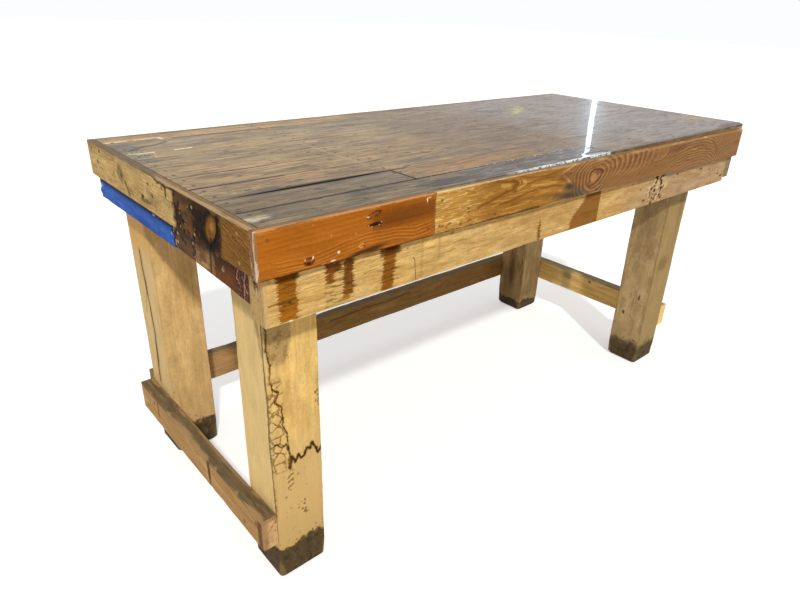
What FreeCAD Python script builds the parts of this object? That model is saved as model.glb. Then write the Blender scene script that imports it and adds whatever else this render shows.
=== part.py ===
import FreeCAD, Part
import os

# Heavy timber assembly table: four square posts, an apron frame, nine laid planks with edge boards,
# three low stretchers, and the nails and screws that hold them. Millimetres, +Z up.
# The layout is written from the middle of the edge-board frame, with -Y the front and -X the left end.
# The last section moves every piece so that the origin is at the bottom centre of the whole table.

# Driving dimensions
table_height = 922.0            # floor to the top face of the planks
frame_length = 1828.0           # outside of the left edge board to the right end of the front edge boards
frame_width = 842.0             # outside of the front edge boards to the outside of the back edge strip
top_overhang_right = 58.0       # planks run this far past the front edge boards at the right

plank_thickness = 38.0
plank_widths = (82.0, 85.0, 89.0, 93.0, 94.5, 94.5, 94.5, 94.5, 70.5)    # front to back
wide_gap = 4.5                  # open gap behind the second plank
butt_gap = 1.0                  # gap where two planks meet end to end
plank_two_joint_x = -478.0      # end-to-end joint in the second plank
plank_one_joint_x = 130.0       # end-to-end joint in the front plank
right_corner_cut = 22.0         # corner knocked off the front plank at the right

edge_board_thickness = 18.0
edge_board_depth = 89.0
left_edge_board_depth = 86.0
front_board_joint_x = -517.0
front_board_fall = 12.0         # the long front edge board falls this much towards the right

rail_thickness = 38.0           # dressed timber
front_apron_thickness = 50.0    # rough-sawn timber
front_apron_depth = 151.0
deep_rail_depth = 140.0
end_apron_depth = 112.0
end_apron_front_depth = 122.0   # the end aprons grow deeper towards the front corner
end_apron_slope_length = 260.0
bearer_depth = 89.0
bearer_centres = (plank_two_joint_x, plank_one_joint_x, 500.0)

leg_side = 125.0
leg_foot_chamfer = 10.0
right_leg_outer_x = 851.0
back_leg_outer_y = 401.0

stretcher_depth = 89.0
left_stretcher_bottom = 121.0
right_stretcher_bottom = 133.0
rear_stretcher_bottom = 135.0
left_stretcher_overrun = 6.0    # the left stretcher runs past the back leg by this much

tape_thickness = 0.4
tape_width = 48.0
tape_bottom = 771.0
tape_front_y = -36.0
tape_back_y = 437.0
tape_tear = 5.0

# Nails and screws: head radius, head thickness, shank radius, length
plank_nail = (4.0, 1.5, 2.0, 80.0)
board_nail = (3.5, 1.5, 1.6, 50.0)
rail_nail = (4.5, 2.0, 2.2, 70.0)
bearer_nail = (4.5, 2.0, 2.2, 90.0)
leg_screw = (5.5, 3.0, 3.0, 90.0)
long_leg_screw = (5.5, 3.0, 3.0, 130.0)
point_length = 8.0

# Planes that follow from the dimensions
front_y = -frame_width / 2
back_y = frame_width / 2
left_x = -frame_length / 2
right_x = frame_length / 2
plank_left_x = left_x + edge_board_thickness
plank_right_x = right_x + top_overhang_right
plank_front_y = front_y + edge_board_thickness
plank_back_y = back_y - edge_board_thickness
plank_bottom = table_height - plank_thickness
apron_front_y = plank_front_y
apron_back_y = apron_front_y + front_apron_thickness
front_leg_outer_y = apron_back_y + rail_thickness
left_leg_outer_x = plank_left_x + rail_thickness
right_apron_outer_x = right_leg_outer_x + rail_thickness
right_board_outer_x = right_apron_outer_x + rail_thickness
back_rail_outer_y = back_leg_outer_y + rail_thickness
end_apron_bottom = plank_bottom - end_apron_depth
end_apron_front_bottom = plank_bottom - end_apron_front_depth

X_POSITIVE = FreeCAD.Vector(1, 0, 0)
X_NEGATIVE = FreeCAD.Vector(-1, 0, 0)
Y_POSITIVE = FreeCAD.Vector(0, 1, 0)
Y_NEGATIVE = FreeCAD.Vector(0, -1, 0)
DOWN = FreeCAD.Vector(0, 0, -1)


def box(x_low, x_high, y_low, y_high, z_low, z_high):
    corner = FreeCAD.Vector(x_low, y_low, z_low)
    return Part.makeBox(x_high - x_low, y_high - y_low, z_high - z_low, corner)


def prism(outline, direction):
    """A closed outline of points, pushed along a vector."""
    points = [FreeCAD.Vector(*point) for point in outline]
    face = Part.Face(Part.makePolygon(points + points[:1]))
    return face.extrude(direction)


def fastener(size, x, y, z, direction):
    """A nail or screw with its head flush at x, y, z and its point along direction."""
    head_radius, head_thickness, shank_radius, length = size
    start = FreeCAD.Vector(x, y, z)
    shank_start = start + direction * head_thickness
    point_start = start + direction * (length - point_length)
    head = Part.makeCylinder(head_radius, head_thickness, start, direction)
    shank_length = length - point_length - head_thickness
    shank = Part.makeCylinder(shank_radius, shank_length, shank_start, direction)
    point = Part.makeCone(shank_radius, shank_radius / 5, point_length, point_start, direction)
    return head.fuse([shank, point])


pieces = {}
fasteners = {}


# Legs: four square posts with worn, chamfered feet
def leg(x_low, y_low):
    post = box(x_low, x_low + leg_side, y_low, y_low + leg_side, 0, plank_bottom)
    foot_edges = [edge for edge in post.Edges if edge.BoundBox.ZMax < 1e-6]
    return post.makeChamfer(leg_foot_chamfer, foot_edges)


leg_left_x = left_leg_outer_x
leg_right_x = right_leg_outer_x - leg_side
leg_front_y = front_leg_outer_y
leg_back_y = back_leg_outer_y - leg_side
pieces["leg_front_left"] = leg(leg_left_x, leg_front_y)
pieces["leg_front_right"] = leg(leg_right_x, leg_front_y)
pieces["leg_back_left"] = leg(leg_left_x, leg_back_y)
pieces["leg_back_right"] = leg(leg_right_x, leg_back_y)


# Apron frame under the planks
pieces["front_apron"] = box(
    plank_left_x, right_apron_outer_x, apron_front_y, apron_back_y,
    plank_bottom - front_apron_depth, plank_bottom)
pieces["front_inner_rail"] = box(
    left_leg_outer_x, right_leg_outer_x, apron_back_y, front_leg_outer_y,
    plank_bottom - deep_rail_depth, plank_bottom)
pieces["back_apron"] = box(
    left_leg_outer_x, right_leg_outer_x, back_leg_outer_y, back_rail_outer_y,
    plank_bottom - deep_rail_depth, plank_bottom)
for name, x_low in (("left_end_apron", plank_left_x), ("right_end_apron", right_leg_outer_x)):
    pieces[name] = prism((
        (x_low, apron_back_y, end_apron_front_bottom),
        (x_low, apron_back_y + end_apron_slope_length, end_apron_bottom),
        (x_low, back_rail_outer_y, end_apron_bottom),
        (x_low, back_rail_outer_y, plank_bottom),
        (x_low, apron_back_y, plank_bottom),
    ), X_POSITIVE * rail_thickness)
pieces["right_end_board"] = box(
    right_apron_outer_x, right_board_outer_x, apron_front_y, back_rail_outer_y,
    plank_bottom - deep_rail_depth, plank_bottom)

# Cross bearers between the front inner rail and the back apron
for number, centre in enumerate(bearer_centres, start=1):
    pieces["cross_bearer_%d" % number] = box(
        centre - rail_thickness / 2, centre + rail_thickness / 2,
        front_leg_outer_y, back_leg_outer_y, plank_bottom - bearer_depth, plank_bottom)


# Planks, laid along the table from the front edge board to the back edge strip
small_gap_count = len(plank_widths) - 2
small_gap = (plank_back_y - plank_front_y - sum(plank_widths) - wide_gap) / small_gap_count
plank_low_y = []
next_y = plank_front_y
for index, width in enumerate(plank_widths):
    plank_low_y.append(next_y)
    gap = wide_gap if index == 1 else small_gap
    next_y += width + gap


def plank(index, x_low, x_high):
    low = plank_low_y[index]
    return box(x_low, x_high, low, low + plank_widths[index], plank_bottom, table_height)


def front_plank_right(x_low):
    """The right-hand length of the front plank, with its outer corner knocked off."""
    low = plank_low_y[0]
    outline = (
        (x_low, low, plank_bottom),
        (plank_right_x - right_corner_cut, low, plank_bottom),
        (plank_right_x, low + right_corner_cut, plank_bottom),
        (plank_right_x, low + plank_widths[0], plank_bottom),
        (x_low, low + plank_widths[0], plank_bottom),
    )
    return prism(outline, FreeCAD.Vector(0, 0, plank_thickness))


half_butt = butt_gap / 2
plank_spans = {
    "top_plank_1_left": (0, plank_left_x, plank_one_joint_x - half_butt),
    "top_plank_1_right": (0, plank_one_joint_x + half_butt, plank_right_x),
    "top_plank_2_left": (1, plank_left_x, plank_two_joint_x - half_butt),
    "top_plank_2_right": (1, plank_two_joint_x + half_butt, plank_right_x),
}
for index in range(2, len(plank_widths)):
    plank_spans["top_plank_%d" % (index + 1)] = (index, plank_left_x, plank_right_x)
for name, (index, x_low, x_high) in plank_spans.items():
    if name == "top_plank_1_right":
        pieces[name] = front_plank_right(x_low)
    else:
        pieces[name] = plank(index, x_low, x_high)


# Edge boards around the top
pieces["front_edge_board_left"] = box(
    left_x, front_board_joint_x, front_y, plank_front_y,
    table_height - edge_board_depth, table_height)
long_board_outline = (
    (front_board_joint_x, front_y, table_height - edge_board_depth),
    (right_x, front_y, table_height - edge_board_depth - front_board_fall),
    (right_x, front_y, table_height - front_board_fall),
    (front_board_joint_x, front_y, table_height),
)
pieces["front_edge_board_right"] = prism(
    long_board_outline, FreeCAD.Vector(0, edge_board_thickness, 0))
pieces["left_end_edge_board"] = box(
    left_x, plank_left_x, plank_front_y, back_y,
    table_height - left_edge_board_depth, table_height)
pieces["back_edge_strip"] = box(
    plank_left_x, plank_right_x, plank_back_y, back_y, plank_bottom, table_height)


# Low stretchers on the outer faces of the legs
pieces["left_stretcher"] = box(
    left_leg_outer_x - rail_thickness, left_leg_outer_x,
    front_leg_outer_y, back_leg_outer_y + left_stretcher_overrun,
    left_stretcher_bottom, left_stretcher_bottom + stretcher_depth)
pieces["right_stretcher"] = box(
    right_leg_outer_x, right_leg_outer_x + rail_thickness,
    front_leg_outer_y, back_leg_outer_y,
    right_stretcher_bottom, right_stretcher_bottom + stretcher_depth)
pieces["rear_stretcher"] = box(
    left_leg_outer_x, right_leg_outer_x, back_leg_outer_y, back_rail_outer_y,
    rear_stretcher_bottom, rear_stretcher_bottom + stretcher_depth)


# Strip of masking tape on the left end apron, torn at both ends
def tape_strip():
    top = tape_bottom + tape_width
    middle = tape_bottom + tape_width / 2
    outline = (
        (plank_left_x, tape_front_y, tape_bottom),
        (plank_left_x, tape_front_y - tape_tear, middle),
        (plank_left_x, tape_front_y + tape_tear, top),
        (plank_left_x, tape_back_y - tape_tear, top),
        (plank_left_x, tape_back_y, middle),
        (plank_left_x, tape_back_y - 3 * tape_tear, tape_bottom),
    )
    return prism(outline, FreeCAD.Vector(-tape_thickness, 0, 0))


pieces["blue_tape_strip"] = tape_strip()


# Plank nails: two through each plank into every support that it crosses
plank_nail_offset = 22.0
joint_nail_setback = 9.5
support_centres = (
    (plank_left_x + left_leg_outer_x) / 2,
    *bearer_centres,
    (right_leg_outer_x + right_apron_outer_x) / 2,
)
fasteners["plank_nails"] = []
for index, x_low, x_high in plank_spans.values():
    centre_y = plank_low_y[index] + plank_widths[index] / 2
    for support in support_centres:
        nail_x = support
        if abs(support - x_low) < 1.0:
            nail_x = support + joint_nail_setback
        if abs(support - x_high) < 1.0:
            nail_x = support - joint_nail_setback
        if not x_low < nail_x < x_high:
            continue
        for offset in (-plank_nail_offset, plank_nail_offset):
            nail = fastener(plank_nail, nail_x, centre_y + offset, table_height, DOWN)
            fasteners["plank_nails"].append(nail)

# Edge board nails: an upper row into the planks and a lower row into the aprons
upper_row_z = 903.0
lower_row_z = 850.0
front_board_nails = (
    (-890.0, upper_row_z), (-813.0, lower_row_z), (-693.0, lower_row_z), (-673.0, upper_row_z),
    (-540.0, upper_row_z), (-532.0, lower_row_z), (-498.0, upper_row_z), (-502.0, lower_row_z),
    (-250.0, upper_row_z), (-210.0, lower_row_z), (30.0, upper_row_z), (60.0, lower_row_z),
    (290.0, upper_row_z), (330.0, lower_row_z), (560.0, upper_row_z), (600.0, lower_row_z),
    (830.0, upper_row_z), (845.0, lower_row_z),
)
back_strip_nail_x = (-820.0, -560.0, -300.0, -40.0, 220.0, 420.0, 640.0, 900.0)
fasteners["edge_board_nails"] = []
for nail_x, nail_z in front_board_nails:
    fasteners["edge_board_nails"].append(fastener(board_nail, nail_x, front_y, nail_z, Y_POSITIVE))
for index in range(0, len(plank_widths), 2):
    centre_y = plank_low_y[index] + plank_widths[index] / 2
    for nail_z in (upper_row_z, lower_row_z):
        fasteners["edge_board_nails"].append(fastener(board_nail, left_x, centre_y, nail_z, X_POSITIVE))
for nail_x in back_strip_nail_x:
    fasteners["edge_board_nails"].append(fastener(board_nail, nail_x, back_y, upper_row_z, Y_NEGATIVE))

# Bearer nails: two through the rail at each end of every bearer
bearer_nail_heights = (805.0, 828.0)
fasteners["bearer_nails"] = []
for centre in bearer_centres:
    for nail_z in bearer_nail_heights:
        fasteners["bearer_nails"].append(fastener(bearer_nail, centre, apron_back_y, nail_z, Y_POSITIVE))
        fasteners["bearer_nails"].append(fastener(bearer_nail, centre, back_rail_outer_y, nail_z, Y_NEGATIVE))

# Frame nails: front apron to end aprons and inner rail, right end board to the frame behind it
fasteners["frame_nails"] = []
for nail_x in (support_centres[0], support_centres[-1]):
    for nail_z in (790.0, 825.0):
        fasteners["frame_nails"].append(fastener(bearer_nail, nail_x, apron_front_y, nail_z, Y_POSITIVE))
for nail_x in (-620.0, -300.0, -20.0, 300.0, 620.0):
    for nail_z in (775.0, 840.0):
        fasteners["frame_nails"].append(fastener(rail_nail, nail_x, front_leg_outer_y, nail_z, Y_NEGATIVE))
for nail_y in (-378.0, -290.0, -60.0, 180.0, 400.0):
    upper_z = 808.0 if nail_y < apron_back_y else 825.0
    lower_z = 760.0 if nail_y < apron_back_y else 785.0
    for nail_z in (upper_z, lower_z):
        fasteners["frame_nails"].append(fastener(rail_nail, right_board_outer_x, nail_y, nail_z, X_NEGATIVE))

# Leg screws: through the aprons and rails into the legs, and through the end aprons into the back apron
front_leg_screws = ((-826.0, 794.0), (-765.0, 761.0), (756.0, 794.0), (832.0, 761.0))
end_leg_screws = ((-257.0, 800.0), (-235.0, 822.0), (310.0, 795.0), (350.0, 822.0))
back_leg_screws = ((-825.0, 765.0), (-765.0, 835.0), (760.0, 835.0), (818.0, 765.0))
back_apron_end_y = (back_leg_outer_y + back_rail_outer_y) / 2
back_apron_end_heights = (800.0, 850.0)
fasteners["leg_screws"] = []
for screw_x, screw_z in front_leg_screws:
    fasteners["leg_screws"].append(fastener(long_leg_screw, screw_x, apron_front_y, screw_z, Y_POSITIVE))
for screw_x, screw_z in back_leg_screws:
    fasteners["leg_screws"].append(fastener(leg_screw, screw_x, back_rail_outer_y, screw_z, Y_NEGATIVE))
end_screws = list(end_leg_screws)
end_screws += [(back_apron_end_y, height) for height in back_apron_end_heights]
for screw_y, screw_z in end_screws:
    fasteners["leg_screws"].append(fastener(leg_screw, plank_left_x, screw_y, screw_z, X_POSITIVE))
    fasteners["leg_screws"].append(fastener(leg_screw, right_apron_outer_x, screw_y, screw_z, X_NEGATIVE))

# Stretcher screws: two at every leg
end_stretcher_screws = ((-285.0, 65.0), (-225.0, 25.0), (310.0, 64.0), (370.0, 24.0))
rear_stretcher_screws = ((-825.0, 65.0), (-770.0, 25.0), (760.0, 30.0), (815.0, 65.0))
fasteners["stretcher_screws"] = []
for screw_y, rise in end_stretcher_screws:
    fasteners["stretcher_screws"].append(fastener(
        leg_screw, left_leg_outer_x - rail_thickness, screw_y, left_stretcher_bottom + rise, X_POSITIVE))
    fasteners["stretcher_screws"].append(fastener(
        leg_screw, right_apron_outer_x, screw_y, right_stretcher_bottom + rise, X_NEGATIVE))
for screw_x, rise in rear_stretcher_screws:
    fasteners["stretcher_screws"].append(fastener(
        leg_screw, screw_x, back_rail_outer_y, rear_stretcher_bottom + rise, Y_NEGATIVE))


# Every fastener makes its own hole in the timber that it passes through
def bored(timber):
    reach = timber.BoundBox
    crossing = []
    for group in fasteners.values():
        crossing += [solid for solid in group if reach.intersect(solid.BoundBox)]
    if not crossing:
        return timber
    return timber.cut(crossing)


for name in list(pieces):
    if name != "blue_tape_strip":
        pieces[name] = bored(pieces[name])
for name, group in fasteners.items():
    pieces[name] = Part.makeCompound(group)

# Move the origin to the bottom centre of the whole table, and write one file per piece
centre_x = (left_x + plank_right_x) / 2
centre_y = (front_y + back_rail_outer_y) / 2
os.makedirs("parts", exist_ok=True)
for name, shape in pieces.items():
    shape.translate(FreeCAD.Vector(-centre_x, -centre_y, 0))
    shape.exportStep("parts/%s.step" % name)
print("%d nodes, %d fasteners" % (len(pieces), sum(len(group) for group in fasteners.values())))
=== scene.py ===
import math

import bpy
import numpy as np
from mathutils import Matrix, Vector


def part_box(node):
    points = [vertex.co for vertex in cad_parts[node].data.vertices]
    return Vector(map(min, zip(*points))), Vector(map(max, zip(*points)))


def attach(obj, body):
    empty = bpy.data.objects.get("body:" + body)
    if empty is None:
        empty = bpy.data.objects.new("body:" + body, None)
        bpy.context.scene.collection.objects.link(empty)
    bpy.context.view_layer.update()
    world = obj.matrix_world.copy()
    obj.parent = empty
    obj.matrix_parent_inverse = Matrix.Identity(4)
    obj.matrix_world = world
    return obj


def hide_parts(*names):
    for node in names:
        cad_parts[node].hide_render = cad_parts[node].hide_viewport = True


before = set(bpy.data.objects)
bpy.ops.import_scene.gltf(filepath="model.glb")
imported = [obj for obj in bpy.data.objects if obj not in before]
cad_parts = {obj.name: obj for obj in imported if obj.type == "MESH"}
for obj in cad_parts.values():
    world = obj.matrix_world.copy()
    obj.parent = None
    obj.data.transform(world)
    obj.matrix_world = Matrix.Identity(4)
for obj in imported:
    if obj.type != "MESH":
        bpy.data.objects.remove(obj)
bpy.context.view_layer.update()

# Sizes below are in millimetres, and Blender's are in metres
MM = 0.001
METRE = 1000.0
X, Y, Z = 0, 1, 2


# ---------------------------------------------------------------- seeded noise for the shapes
# Large odd factors that scatter the cell numbers, and masks for the bits that are kept
SCATTER_X, SCATTER_Y, SCATTER_Z, SCATTER_SEED = 73856093, 19349663, 83492791, 2654435761
STIR_FIRST, STIR_SECOND = 2246822519, 3266489917
WORD, HALF_WORD = 0xFFFFFFFF, 0xFFFF


def value_noise(points, seed):
    """Smooth value noise from 0 to 1 at an (n, 3) array of points."""
    cell = np.floor(points).astype(np.int64)
    part = points - cell
    part = part * part * (3 - 2 * part)
    total = np.zeros(len(points))
    for dx in (0, 1):
        for dy in (0, 1):
            for dz in (0, 1):
                h = (cell[:, 0] + dx) * SCATTER_X ^ (cell[:, 1] + dy) * SCATTER_Y
                h = (h ^ (cell[:, 2] + dz) * SCATTER_Z ^ seed * SCATTER_SEED) & WORD
                h = ((h ^ (h >> 15)) * STIR_FIRST) & WORD
                h = ((h ^ (h >> 13)) * STIR_SECOND) & WORD
                weight = np.where(dx, part[:, 0], 1 - part[:, 0])
                weight = weight * np.where(dy, part[:, 1], 1 - part[:, 1])
                weight = weight * np.where(dz, part[:, 2], 1 - part[:, 2])
                total += weight * ((h >> 4) & HALF_WORD) / HALF_WORD
    return total


def wave(s, seed, per_metre):
    """Noise from 0 to 1 along a length."""
    points = np.zeros((len(s), 3))
    points[:, 0] = np.asarray(s) * per_metre + seed * 17.31
    points[:, 1] = seed * 3.7
    return value_noise(points, seed)


def bump(s, middle, half):
    """1 at the middle, falling smoothly to 0 at half away."""
    t = np.clip(1 - np.abs(np.asarray(s) - middle) / half, 0, 1)
    return t * t * (3 - 2 * t)


# ---------------------------------------------------------------- timber as a lofted, worn board
# The corners of a section, as signs of a and b, with the angle that each arc starts at
CORNERS = {(1, -1): -90, (1, 1): 0, (-1, 1): 90, (-1, -1): 180}
ARC_STEPS = 4
ACROSS_SPACING = 11.0
# A groove's points as (share of its half width, share of its depth), and how far other points keep away
GROOVE_PROFILE = ((-1.0, 0.0), (-0.25, 1.0), (0.25, 1.0), (1.0, 0.0))
GROOVE_MARGIN = 9.0
# The sizes of the broad unevenness of a face
WOBBLE_ALONG, WOBBLE_ACROSS = 160.0, 28.0


def board(name, axis, low, high, seed, radius=2.5, worn=1.0, limits=None, edges=None, chips=(),
          grooves=(), spacing=12.0, wobble=0.5, end_radius=None, dents=()):
    """A length of timber with rounded, worn edges. All sizes are in millimetres.

    limits(s) may give new outer limits (a low, a high, b low, b high) along the length.
    edges gives a radius for named corners (sign a, sign b); chips are (sign a, sign b, s, length, size).
    grooves are (side, position, half width, depth, s start, s end): cracks that run with the grain.
    dents are (side, s, position, length, width, depth): shallow hollows in a face.
    """
    a_axis, b_axis = (axis + 1) % 3, (axis + 2) % 3
    length = high[axis] - low[axis]
    end_r = min(end_radius or radius, length / 4)
    steps = max(int(length / spacing), 2)
    inner = np.linspace(end_r, length - end_r, steps + 1)
    bend = [0.0, 0.3, 0.6, 0.85]
    ends = [(end_r * (1 - math.cos(t * math.pi / 2)), end_r * (1 - math.sin(t * math.pi / 2))) for t in bend]
    station = [s for s, _ in ends] + list(inner) + [length - s for s, _ in reversed(ends)]
    inset = [i for _, i in ends] + [0.0] * len(inner) + [i for _, i in reversed(ends)]
    station, inset = np.array(station) + low[axis], np.array(inset)
    count = len(station)
    a0, a1 = np.full(count, low[a_axis]), np.full(count, high[a_axis])
    b0, b1 = np.full(count, low[b_axis]), np.full(count, high[b_axis])
    if limits:
        a0, a1, b0, b1 = [np.asarray(v, float) + np.zeros(count) for v in limits(station, a0, a1, b0, b1)]
    a0, a1, b0, b1 = a0 + inset, a1 - inset, b0 + inset, b1 - inset
    corners = list(CORNERS)
    radii = []
    for k, corner in enumerate(corners):
        base = (edges or {}).get(corner, radius)
        r = base * (1 + worn * (1.3 * wave(station / METRE, seed * 7 + k, 9) ** 2 - 0.35
                                + 0.7 * wave(station / METRE, seed * 11 + k, 55) ** 3))
        for sign_a, sign_b, s, long, size in chips:
            if (sign_a, sign_b) == corner:
                r = r + size * bump(station, s, long / 2)
        shortest = np.minimum(a1 - a0, b1 - b0)
        radii.append(np.clip(r - inset * 0.6, 0.15, shortest * 0.45))
    ring, outward, wear = [], [], []
    for k, (sign_a, sign_b) in enumerate(corners):
        r, start = radii[k], CORNERS[sign_a, sign_b]
        centre_a = np.where(sign_a > 0, a1 - r, a0 + r)
        centre_b = np.where(sign_b > 0, b1 - r, b0 + r)
        for step in range(ARC_STEPS + 1):
            angle = math.radians(start + 90 * step / ARC_STEPS)
            out_a, out_b = math.cos(angle), math.sin(angle)
            ring.append(np.stack([centre_a + r * out_a, centre_b + r * out_b], 1))
            outward.append(np.full((count, 2), (out_a, out_b)))
            wear.append(np.full(count, 1.0 - abs(step / ARC_STEPS - 0.5) * 0.9) * np.clip(r / 3, 0.3, 1.6))
        # The flat side from this corner to the next; run is the direction that it lies in
        next_a, next_b = corners[(k + 1) % 4]
        r_next = radii[(k + 1) % 4]
        side = (sign_a, 0) if sign_a == next_a else (0, sign_b)
        first = ring[-1]
        if side[0]:
            last = np.stack([first[:, 0], np.where(next_b > 0, b1 - r_next, b0 + r_next)], 1)
            run = 1
        else:
            last = np.stack([np.where(next_a > 0, a1 - r_next, a0 + r_next), first[:, 1]], 1)
            run = 0
        width = abs(float(np.median(last[:, run] - first[:, run])))
        parts = max(int(width / ACROSS_SPACING), 1)
        places = [(t, None) for t in np.linspace(0, 1, parts + 1)[1:-1]]
        for groove in grooves:
            if groove[0] != side:
                continue
            start_at, end_at = float(first[count // 2, run]), float(last[count // 2, run])
            middle = (groove[1] - start_at) / (end_at - start_at)
            half = abs(groove[2] / (end_at - start_at))
            keep = abs(GROOVE_MARGIN / (end_at - start_at))
            places = [p for p in places if p[1] is not None or abs(p[0] - middle) > keep]
            for share, deep in GROOVE_PROFILE:
                places.append((middle + half * share, (groove, deep)))
        for t, groove_point in sorted(places, key=lambda p: p[0]):
            place = first * (1 - t) + last * t
            depth = np.zeros(count)
            if groove_point:
                (_, _, _, deepest, s_start, s_end), deep = groove_point
                window = bump(station, (s_start + s_end) / 2, (s_end - s_start) / 2)
                window = np.clip(window * 2.2, 0, 1) * (0.55 + 0.9 * wave(station / METRE, seed + 41, 30))
                depth = deep * deepest * window
                place[:, run] += (wave(station / METRE, seed + 43, 14) - 0.5) * 6.0 * np.clip(window, 0, 1)
            normal = np.full((count, 2), side, float)
            for dent_side, s, at, long, wide, deepest in dents:
                if dent_side == side:
                    dent = deepest * bump(station, s, long / 2) * bump(place[:, run], at, wide / 2)
                    depth = depth + dent
            ring.append(place - normal * depth[:, None])
            outward.append(normal)
            wear.append(np.zeros(count))
    ring, outward, wear = np.array(ring), np.array(outward), np.array(wear)
    per_ring = len(ring)
    points = np.zeros((count, per_ring, 3))
    points[:, :, axis] = station[:, None]
    points[:, :, a_axis] = ring[:, :, 0].T
    points[:, :, b_axis] = ring[:, :, 1].T
    flat = points.reshape(-1, 3)
    scale = np.full(3, 1 / WOBBLE_ACROSS)
    scale[axis] = 1 / WOBBLE_ALONG
    broad = value_noise(flat * scale, seed + 3)
    fine = value_noise(flat * scale * 3.1, seed + 5)
    sink = wobble * (broad + 0.4 * fine) / 1.4
    push = outward.transpose(1, 0, 2).reshape(-1, 2)
    flat[:, a_axis] -= push[:, 0] * sink
    flat[:, b_axis] -= push[:, 1] * sink
    faces = []
    for i in range(count - 1):
        row, above = i * per_ring, (i + 1) * per_ring
        for j in range(per_ring):
            n = (j + 1) % per_ring
            faces.append((row + j, row + n, above + n, above + j))
    faces.append(tuple(reversed(range(per_ring))))
    faces.append(tuple(range((count - 1) * per_ring, count * per_ring)))
    mesh = bpy.data.meshes.new(name)
    mesh.from_pydata((flat * MM).tolist(), [], faces)
    mesh.update()
    mesh.shade_smooth()
    attribute = mesh.attributes.new("wear", "FLOAT", "POINT")
    end_wear = np.array(inset > 0, float)[:, None] * 0.7 + np.zeros((count, per_ring))
    amount = np.maximum(wear.T, end_wear).reshape(-1)
    attribute.data.foreach_set("value", amount.astype(np.float32))
    return bpy.data.objects.new(name, mesh)


# ---------------------------------------------------------------- node helper for the materials
def srgb(r, g, b):
    """A colour written as 0 to 255 sRGB, as linear RGBA."""
    linear = [(c / 255 / 12.92) if c <= 10.3 else ((c / 255 + 0.055) / 1.055) ** 2.4 for c in (r, g, b)]
    return (*linear, 1.0)


class Value:
    """A number in a node tree, with arithmetic."""

    def __init__(self, tree, socket):
        self.tree, self.socket = tree, socket

    def op(self, operation, *others):
        """A sum made by a node; the others are values of the tree or plain numbers."""
        node = self.tree.nodes.new("ShaderNodeMath")
        node.operation = operation
        for index, item in enumerate((self, *others)):
            if isinstance(item, Value):
                self.tree.links.new(item.socket, node.inputs[index])
            else:
                node.inputs[index].default_value = item
        return Value(self.tree, node.outputs[0])

    def __add__(self, other):
        return self.op("ADD", other)

    def __sub__(self, other):
        return self.op("SUBTRACT", other)

    def __mul__(self, other):
        return self.op("MULTIPLY", other)

    def __truediv__(self, other):
        return self.op("DIVIDE", other)

    def __neg__(self):
        return self.op("MULTIPLY", -1.0)

    __radd__, __rmul__ = __add__, __mul__

    def __rsub__(self, other):
        return (-self).op("ADD", other)

    def abs(self):
        return self.op("ABSOLUTE")

    def power(self, p):
        return self.op("POWER", p)

    def at_most(self, other):
        return self.op("MINIMUM", other)

    def at_least(self, other):
        return self.op("MAXIMUM", other)

    def clamp(self):
        return self.at_least(0.0).at_most(1.0)

    def step(self, low, high):
        """0 below low, 1 above high, smooth between; low may be above high.

        The node's own clamp changes nothing here, and it would be worked out late (see Paint.bend_point).
        """
        node = self.tree.nodes.new("ShaderNodeMapRange")
        node.interpolation_type = "SMOOTHSTEP"
        node.clamp = False
        self.tree.links.new(self.socket, node.inputs[0])
        node.inputs[1].default_value, node.inputs[2].default_value = min(low, high), max(low, high)
        node.inputs[3].default_value, node.inputs[4].default_value = (0, 1) if low < high else (1, 0)
        return Value(self.tree, node.outputs[0])


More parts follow.
